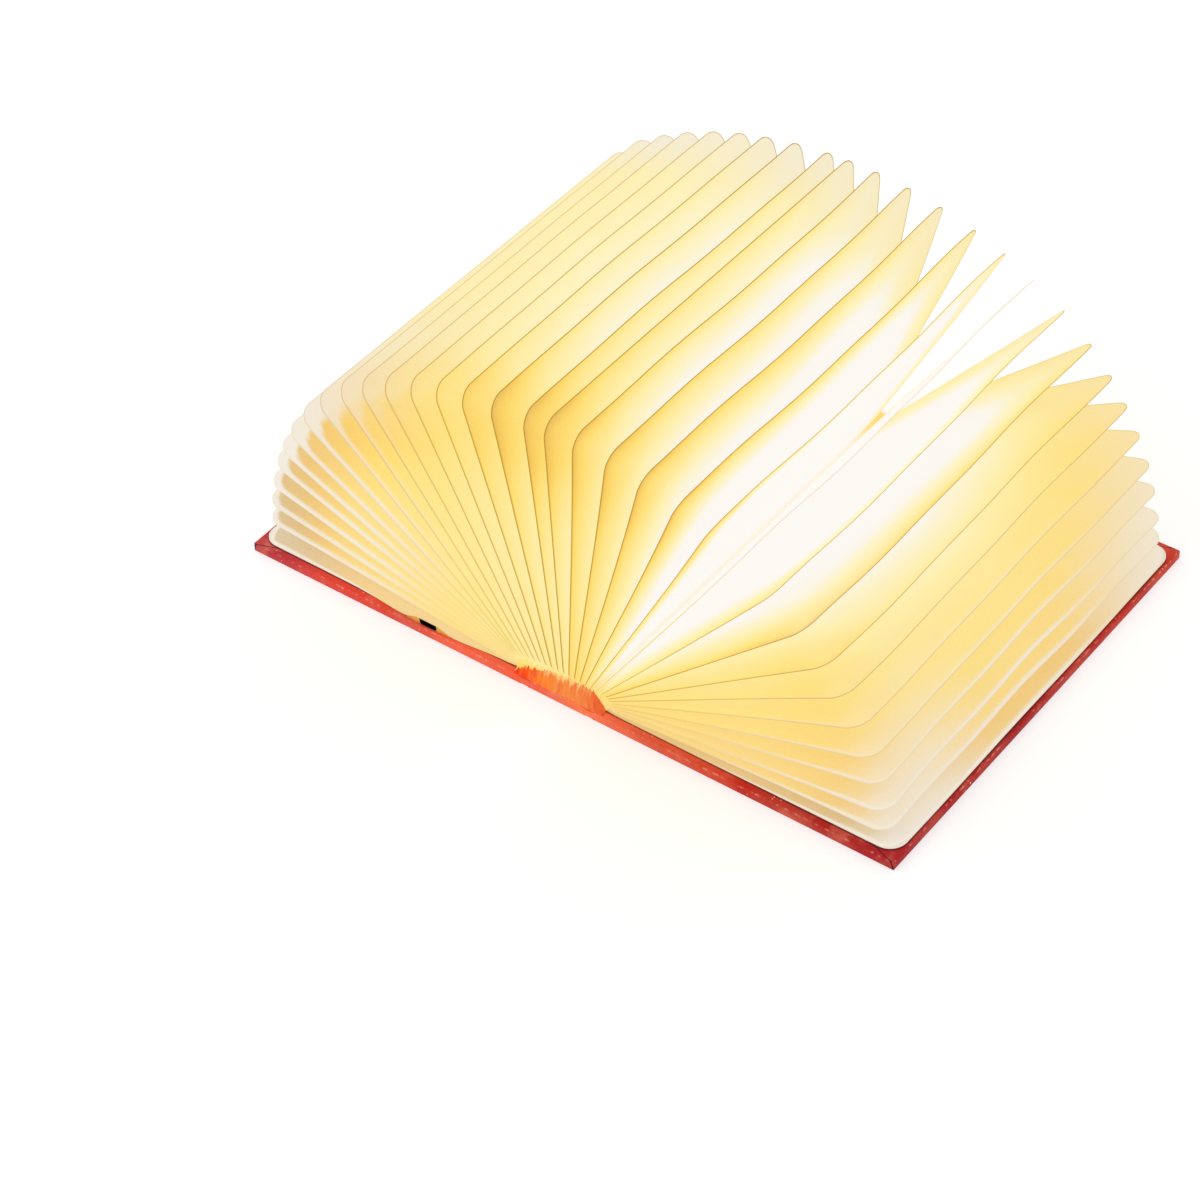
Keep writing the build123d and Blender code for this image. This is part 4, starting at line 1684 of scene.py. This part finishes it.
@dataclass
class BookCase:
    """The covers and the spine in their printed paper, with the hinge papers between them.

    Attributes:
        wardrobe: Where the finishes come from.
        foil_depth: Height left under the case for the stamped foil, in millimetres.
        top: Height of the covers' inner faces.
        rounding: Radius of the folded edges.
        groove: Depth of the hinge grooves, outside and inside.
        pocket_gap: Room round the tray along and across, and under it.
        endpaper_start: Distance of an endpaper's inner edge from the middle.
        endpaper_corner: Radius of its outer corners.
    """

    wardrobe: Wardrobe
    foil_depth: float = 0.06
    top: float = 4.38
    rounding: float = 0.55
    groove: float = 0.7
    pocket_gap: tuple[float, float, float] = (0.15, 0.15, 0.1)
    endpaper_start: float = 19.6
    endpaper_corner: float = 9.0

    def slab(self, name: str, low: Sequence[float], high: Sequence[float]) -> Piece:
        """Model a plain slab with folded edges.

        Args:
            name: Name of the piece.
            low: Its lowest corner, in millimetres.
            high: Its highest corner.

        Returns:
            The slab.
        """
        piece = add_box(name, low, high)
        apply_modifier(piece, "BEVEL", width=self.rounding * MM, segments=3, limit_method="ANGLE")
        return piece

    def cover(self, side: Side) -> Piece:
        """Model, dress and place one cover's printed case.

        Args:
            side: Which cover.

        Returns:
            The case.
        """
        low, high = box_of(f"{side.word}_cover_wrap")
        board_low, board_high = box_of(f"{side.word}_cover_board")
        inner = min(abs(board_low.x), abs(board_high.x)) - 0.03
        outer = max(abs(low.x), abs(high.x))
        first, last = sorted((side.value * inner, side.value * outer))
        name = f"{side.word}_cover_case"
        piece = self.slab(name, (first, low.y, self.foil_depth), (last, high.y, self.top))
        if side is Side.LEFT:
            self.cut_pocket(piece)
        smooth(piece, 35.0)
        self.wardrobe.dress(piece, "printed_wrap")
        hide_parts(f"{side.word}_cover_wrap")
        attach(piece, f"{side.word}_cover")
        log.info("case %s", piece.name)
        return piece

    def cut_pocket(self, piece: Piece) -> None:
        """Sink the electronics tray's pocket into the left cover.

        Args:
            piece: The left cover's case.
        """
        low, high = box_of("electronics_tray")
        gap = Vector(self.pocket_gap)
        cutter = add_box("pocket_cutter", low - gap, (high.x + gap.x, high.y + gap.y, self.top + 2))
        apply_modifier(piece, "BOOLEAN", operation="DIFFERENCE", object=cutter, solver="EXACT")
        bpy.data.objects.remove(cutter)

    def spine(self) -> Piece:
        """Model, dress and place the spine's printed case.

        Returns:
            The case.
        """
        low, high = box_of("spine_wrap")
        edge = max(box_of("spine_board")[1].x, high.x)
        piece = self.slab("spine_case", (-edge, low.y, self.foil_depth), (edge, high.y, self.top - 0.04))
        smooth(piece, 35.0)
        self.wardrobe.dress(piece, "printed_wrap")
        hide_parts("spine_wrap")
        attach(piece, "spine")
        log.info("case %s", piece.name)
        return piece

    def hinge(self, side: Side) -> Piece:
        """Model, dress and place the doubled paper that bends at one hinge.

        Args:
            side: Which hinge.

        Returns:
            The hinge paper.
        """
        spine_edge = box_of("spine_wrap")[1]
        start = spine_edge.x - 0.15
        low, high = box_of(f"{side.word}_cover_board")
        end = min(abs(low.x), abs(high.x)) + 0.4
        half = spine_edge.y - 0.04
        across = np.linspace(start, end, 11)
        dip = 1 - ((across - (start + end) / 2) / ((end - start) / 2)) ** 2
        under = [(side.value * x, self.foil_depth + 0.02 + self.groove * d) for x, d in zip(across, dip)]
        over = [(side.value * x, self.top - 0.08 - self.groove * d) for x, d in zip(across, dip)]
        rows = [-half, -half + 0.4, -60.0, 0.0, 60.0, half - 0.4, half]
        piece = add_profile(f"{side.word}_hinge_paper", under + over[::-1], rows)
        smooth(piece, 50.0)
        self.wardrobe.dress(piece, "printed_wrap")
        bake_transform(piece)
        log.info("hinge paper %s", piece.name)
        return piece

    def endpaper(self, side: Side) -> Piece:
        """Model, dress and place the pastedown, cut like the leaves.

        Args:
            side: Which cover.

        Returns:
            The pastedown.
        """
        node = f"{side.word}_endpaper"
        fly_low, fly_high = box_of(f"{side.word}_flyleaf")
        depth = max(abs(fly_low.x), abs(fly_high.x)) - self.endpaper_start
        cut = LeafCut(depth, fly_high.y - fly_low.y - 1.0, self.endpaper_corner, thickness=0.12)
        piece, lines = add_grid(f"{node}_sheet", cut.columns(), cut.rows())
        along = lines[:, 0] * cut.half_length(lines[:, 1]) / (cut.length / 2)
        out = side.value * (lines[:, 1] + self.endpaper_start)
        level = np.full(len(along), self.top + 0.01 + cut.thickness / 2)
        move_points(piece, np.column_stack([out, along, level]) * MM)
        thicken(piece, cut.thickness)
        self.wardrobe.dress(piece, "cream_paper")
        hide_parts(node)
        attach(piece, f"{side.word}_cover")
        log.info("endpaper %s", piece.name)
        return piece


@dataclass
class HingeRibbon:
    """The flat cable that crosses the left hinge from the light bar to the electronics tray.

    Attributes:
        wardrobe: Where the finishes come from.
        ridge: Height of the conductors' ridges, in millimetres.
        thickness: Of the film.
    """

    wardrobe: Wardrobe
    ridge: float = 0.07
    thickness: float = 0.12

    def build(self) -> Piece:
        """Model, dress and place the cable, with the ridges of its conductors.

        Returns:
            The cable.
        """
        low, high = box_of("hinge_ribbon")
        width = high.y - low.y
        rows = np.linspace(low.y, high.y, 25)
        piece, lines = add_grid("hinge_cable", np.linspace(low.x, high.x, 25), rows)
        conductors = self.ridge * np.abs(np.sin((lines[:, 1] - low.y) / width * math.pi * 4))
        level = (low.z + high.z) / 2 - 0.03 + conductors
        move_points(piece, np.column_stack([lines[:, 0], lines[:, 1], level]) * MM)
        thicken(piece, self.thickness)
        self.wardrobe.dress(piece, "ribbon_film")
        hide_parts("hinge_ribbon")
        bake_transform(piece)
        log.info("cable %s", piece.name)
        return piece


@dataclass
class FoilStamp:
    """Gold ornament stamped on the outer faces: line frames, scrolls, leaf sprays and rosettes.

    Attributes:
        wardrobe: Where the finishes come from.
        thickness: Of the foil, in millimetres.
        layer: How much deeper each shape lies than the last, so that no two share a face.
        shapes: The flat shapes drawn so far.
    """

    wardrobe: Wardrobe
    thickness: float = 0.09
    layer: float = 0.002
    shapes: list[Piece] = field(default_factory=list)

    def ribbon(self, points: np.ndarray, widths: np.ndarray) -> Piece:
        """Draw a flat band of changing width.

        Args:
            points: Its middle line as rows of x, y in millimetres.
            widths: Its width at each point.

        Returns:
            The band, one layer.
        """
        piece, lines = add_grid("foil_band", [-0.5, 0.5], list(range(len(points))))
        step = np.gradient(points, axis=0)
        if np.allclose(points[0], points[-1]):
            step[0] = step[-1] = step[0] + step[-1]
        pace = np.maximum(np.linalg.norm(step, axis=1), 1e-9)
        normal = np.column_stack([-step[:, 1], step[:, 0]]) / pace[:, None]
        row = lines[:, 1].astype(int)
        flat = points[row] + normal[row] * (widths[row] * lines[:, 0])[:, None]
        move_points(piece, np.column_stack([flat, np.zeros(len(flat))]) * MM)
        self.shapes.append(piece)
        return piece

    def again(self, piece: Piece, turn: Matrix) -> Piece:
        """Copy a shape with its own mesh, and move the copy.

        Args:
            piece: The shape.
            turn: The move, with lengths in millimetres.

        Returns:
            The copy.
        """
        copy = piece.copy()
        copy.data = piece.data.copy()
        bpy.context.scene.collection.objects.link(copy)
        placed = turn.copy()
        placed.translation = turn.translation * MM
        copy.data.transform(placed)
        self.shapes.append(copy)
        return copy

    def petal(self, base: Sequence[float], tip: Sequence[float], width: float, bend: float = 0.0) -> Piece:
        """Draw a pointed petal.

        Args:
            base: Where it starts, in millimetres.
            tip: Where it ends.
            width: Its width in the middle.
            bend: How far it bends sideways, as a share of its length.

        Returns:
            The petal.
        """
        share = np.linspace(0, 1, 9)
        start, finish = np.array(base, float), np.array(tip, float)
        aside = np.array([start[1] - finish[1], finish[0] - start[0]])
        points = start + np.outer(share, finish - start) + np.outer(np.sin(math.pi * share) * bend, aside)
        return self.ribbon(points, np.maximum(width * np.sin(math.pi * share**0.8), 0.02))

    def ring(self, radius: float, width: float, steps: int = 72) -> Piece:
        """Draw a ring round the middle.

        Args:
            radius: Its radius, in millimetres.
            width: Width of its line.
            steps: Number of straight parts.

        Returns:
            The ring.
        """
        turn = np.linspace(0, 2 * math.pi, steps + 1)
        points = radius * np.column_stack([np.cos(turn), np.sin(turn)])
        return self.ribbon(points, np.full(steps + 1, width))

    def bead(self, centre: Sequence[float], radius: float) -> Piece:
        """Draw a small disc.

        Args:
            centre: Its middle, in millimetres.
            radius: Its radius.

        Returns:
            The disc.
        """
        share = np.linspace(-1, 1, 9)
        points = np.array(centre) + np.outer(share, (radius, 0))
        return self.ribbon(points, np.maximum(2 * radius * np.sqrt(1 - share**2), 0.02))

    def frame_line(self, half_x: float, half_y: float, notch: float, width: float) -> Piece:
        """Draw a rectangular line whose sides cross near the corners and are tied there by an arc.

        Args:
            half_x: Half its width from tip to tip, in millimetres.
            half_y: Half its height.
            notch: How far the sides run past each other, which is also the arcs' radius.
            width: Width of the line.

        Returns:
            The frame.
        """
        corner = np.radians(np.linspace(90, 0, 9))
        scoop = notch * np.column_stack([np.cos(corner), np.sin(corner)])
        outline = []
        for sign_x, sign_y, order in ((1, 1, 1), (1, -1, -1), (-1, -1, 1), (-1, 1, -1)):
            arc = np.array([half_x, half_y]) - scoop
            arc = arc * (sign_x, sign_y)
            outline.append(arc[::order])
        points = np.vstack(outline)
        points = np.vstack([points, points[:1]])
        return self.ribbon(points, np.full(len(points), width))

    def scroll(
        self, centre: Sequence[float], radius: float, start: float, turns: float, width: float
    ) -> None:
        """Draw a tapering spiral that ends in a bead, with leaves on its outside.

        Args:
            centre: Middle of the spiral.
            radius: Its outer radius.
            start: Angle of its outer end, in degrees.
            turns: Number of turns, negative to wind the other way.
            width: Its width at the outer end.
        """
        share = np.linspace(0, 1, 48)
        angle = math.radians(start) + 2 * math.pi * turns * share
        reach = radius * (1 - share) ** 0.8 * 0.86 + radius * 0.14
        points = np.array(centre) + np.column_stack([np.cos(angle), np.sin(angle)]) * reach[:, None]
        self.ribbon(points, width * (1 - 0.62 * share))
        self.bead(points[-1], width * 0.8)
        for place in (3, 8, 13, 18):
            outward = (points[place] - np.array(centre)) / reach[place]
            along = points[place + 1] - points[place]
            along /= np.linalg.norm(along)
            tip = points[place] + (outward * 0.75 - along * 0.75) * radius * 0.36
            self.petal(points[place], tip, radius * 0.13, 0.16 * math.copysign(1, turns))

    def spray(self, line: np.ndarray, leaf: float, pairs: int) -> None:
        """Draw a stem with pairs of leaves along it and one at its tip.

        Args:
            line: The stem as rows of x, y in millimetres.
            leaf: Length of the lowest leaves.
            pairs: Number of pairs.
        """
        count = len(line)
        self.ribbon(line, np.linspace(0.7, 0.3, count))
        for pair in range(pairs):
            place = int((pair + 0.6) / (pairs + 0.4) * (count - 2))
            ahead = line[place + 1] - line[place]
            ahead /= np.linalg.norm(ahead)
            aside = np.array([-ahead[1], ahead[0]])
            size = leaf * (1 - 0.35 * pair / pairs)
            for way in (-1, 1):
                tip = line[place] + (ahead * 0.8 + aside * way * 0.62) * size
                self.petal(line[place], tip, size * 0.34, 0.12 * way)
        ahead = line[-1] - line[-2]
        self.petal(line[-1], line[-1] + ahead / np.linalg.norm(ahead) * leaf * 0.8, leaf * 0.3)

    def rosette(self, petals: int, inner: float, outer: float, width: float) -> list[Piece]:
        """Draw petals round the middle, one drawn and the rest copied.

        Args:
            petals: Their number.
            inner: Distance of their bases from the middle, in millimetres.
            outer: Distance of their tips.
            width: Their width.

        Returns:
            The petals.
        """
        first = self.petal((inner, 0), (outer, 0), width)
        turns = (Matrix.Rotation(2 * math.pi * i / petals, 4, "Z") for i in range(1, petals))
        return [first, *(self.again(first, turn) for turn in turns)]

    def medallion(self) -> None:
        """Draw the middle of a cover: an eight-pointed star of two squares inside petals and beads."""
        self.ring(31.0, 0.9)
        self.ring(17.4, 0.6)
        self.rosette(16, 18.2, 26.4, 3.3)
        self.rosette(8, 2.2, 9.4, 3.0)
        self.bead((0, 0), 1.4)
        bead = self.bead((28.7, 0), 0.75)
        for i in range(1, 32):
            self.again(bead, Matrix.Rotation(2 * math.pi * i / 32, 4, "Z"))
        corner = 16.2 * np.array([[math.cos(a), math.sin(a)] for a in np.radians((0, 90, 180, 270, 360))])
        edges = np.vstack([np.linspace(a, b, 5)[:-1] for a, b in zip(corner, corner[1:])] + [corner[:1]])
        square = self.ribbon(edges, np.full(len(edges), 0.7))
        self.again(square, Matrix.Rotation(math.pi / 4, 4, "Z"))

    def quarter(self) -> None:
        """Draw one quarter of a cover's field: scrolls, sprays and a palmette."""
        self.scroll((38.5, 73.5), 15.0, 60.0, 1.6, 1.7)
        self.scroll((17.0, 82.0), 9.0, 200.0, -1.4, 1.2)
        self.scroll((47.0, 45.5), 8.5, 100.0, -1.4, 1.2)
        self.scroll((16.0, 52.0), 10.0, -80.0, 1.5, 1.3)
        bow = np.linspace(0, 1, 14)
        self.spray(np.column_stack([53.0 - 4.0 * np.sin(math.pi * bow), 4.0 + 28.0 * bow]), 6.0, 4)
        self.spray(np.column_stack([3.0 + 22.0 * bow, 39.0 + 22.0 * bow**2 * 0.4]), 4.6, 3)
        self.spray(np.column_stack([28.0 + 20.0 * bow, 55.0 + 4.0 * np.sin(math.pi * bow)]), 4.8, 3)
        for angle in (72, 54, 36):
            way = np.array([math.cos(math.radians(angle)), math.sin(math.radians(angle))])
            heart = np.array([0, 66.0])
            self.petal(heart + way * 2.0, heart + way * (11.5 - (90 - angle) * 0.05), 2.4)
        self.bead((55.5, 90.5), 0.9)
        self.petal((35.0, 0.8), (43.0, 3.8), 2.4, 0.1)

    def four_ways(self) -> None:
        """Mirror everything drawn so far to the other three quarters."""
        drawn = list(self.shapes)
        for sign_x, sign_y in ((-1, 1), (1, -1), (-1, -1)):
            for piece in drawn:
                self.again(piece, Matrix.Diagonal((sign_x, sign_y, 1, 1)))

    def finish(self, name: str, centre: float, body: str) -> Piece:
        """Join the shapes, give them thickness, and stamp them on the case.

        Args:
            name: Name of the finished piece.
            centre: Where the ornament's middle lies along x, in millimetres.
            body: The body it moves with.

        Returns:
            The foil.
        """
        for place, shape in enumerate(self.shapes):
            points = points_of(shape)
            points[:, 0] += centre * MM
            points[:, 2] = (self.thickness / 2 + self.layer * (place % 13)) * MM
            move_points(shape, points)
        piece = join(self.shapes, name)
        self.shapes = []
        recalculate_normals(piece)
        apply_modifier(piece, "SOLIDIFY", thickness=self.thickness * MM, offset=0.0, use_rim=True)
        recalculate_normals(piece)
        piece.data.materials.clear()
        piece.data.materials.append(self.wardrobe.foil)
        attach(piece, body)
        log.info("foil %s", piece.name)
        return piece

    def cover(self, side: Side) -> Piece:
        """Stamp one cover.

        Args:
            side: Which cover.

        Returns:
            The foil.
        """
        self.quarter()
        self.four_ways()
        for way in (-1, 1):
            self.petal((0, way * 68.0), (0, way * 77.5), 2.4)
            self.bead((0, way * 63.0), 1.2)
        self.medallion()
        self.frame_line(66.0, 101.5, 0.6, 1.0)
        self.frame_line(63.2, 98.7, 5.0, 0.5)
        self.frame_line(61.6, 97.1, 5.0, 0.5)
        return self.finish(f"{side.word}_cover_foil", side.value * 91.0, f"{side.word}_cover")

    def spine(self) -> Piece:
        """Stamp the spine.

        Returns:
            The foil.
        """
        self.rosette(8, 1.4, 6.2, 2.0)
        self.ring(7.4, 0.5)
        share = np.linspace(0, 1, 26)
        for way in (-1, 1):
            stem = (way * 3.2 * np.sin(3 * math.pi * share), way * (11.0 + 30.0 * share))
            self.spray(np.column_stack(stem), 4.4, 6)
            self.scroll((way * 3.6, way * 58.0), 4.2, 0.0, 1.4, 0.8)
            self.scroll((-way * 3.6, way * 70.0), 4.2, 180.0, 1.4, 0.8)
            stem = (-way * 2.4 * np.sin(2 * math.pi * share), way * (77.0 + 12.0 * share))
            self.spray(np.column_stack(stem), 3.2, 3)
            for place in (48.0, 64.0, 95.0):
                self.petal((0, way * (place - 2.2)), (0, way * (place + 2.2)), 1.8)
        self.frame_line(12.0, 103.5, 0.5, 0.7)
        self.frame_line(10.6, 102.0, 2.4, 0.4)
        return self.finish("spine_foil", 0.0, "spine")


def main() -> None:
    """Build the lamp from the camera to the last finish."""
    logging.basicConfig(level=logging.INFO, format="%(name)s: %(message)s")
    PhotoCamera().add()
    Studio().add()
    wardrobe = Wardrobe()
    wardrobe.dress_nodes()
    fan = LeafFan(wardrobe)
    fan.build()
    case = BookCase(wardrobe)
    case.spine()
    flyleaves = Flyleaves(wardrobe)
    cloths = SpineCloths(wardrobe)
    caps = SpineCaps(wardrobe)
    foil = FoilStamp(wardrobe)
    for end in (-1, 1):
        caps.tongue(end)
    for side in Side:
        case.cover(side)
        case.hinge(side)
        case.endpaper(side)
        flyleaves.build(side)
        cloths.build(fan, side)
        for end in (-1, 1):
            caps.build(side, end)
        foil.cover(side)
    foil.spine()
    HingeRibbon(wardrobe).build()


if __name__ == "__main__":
    main()
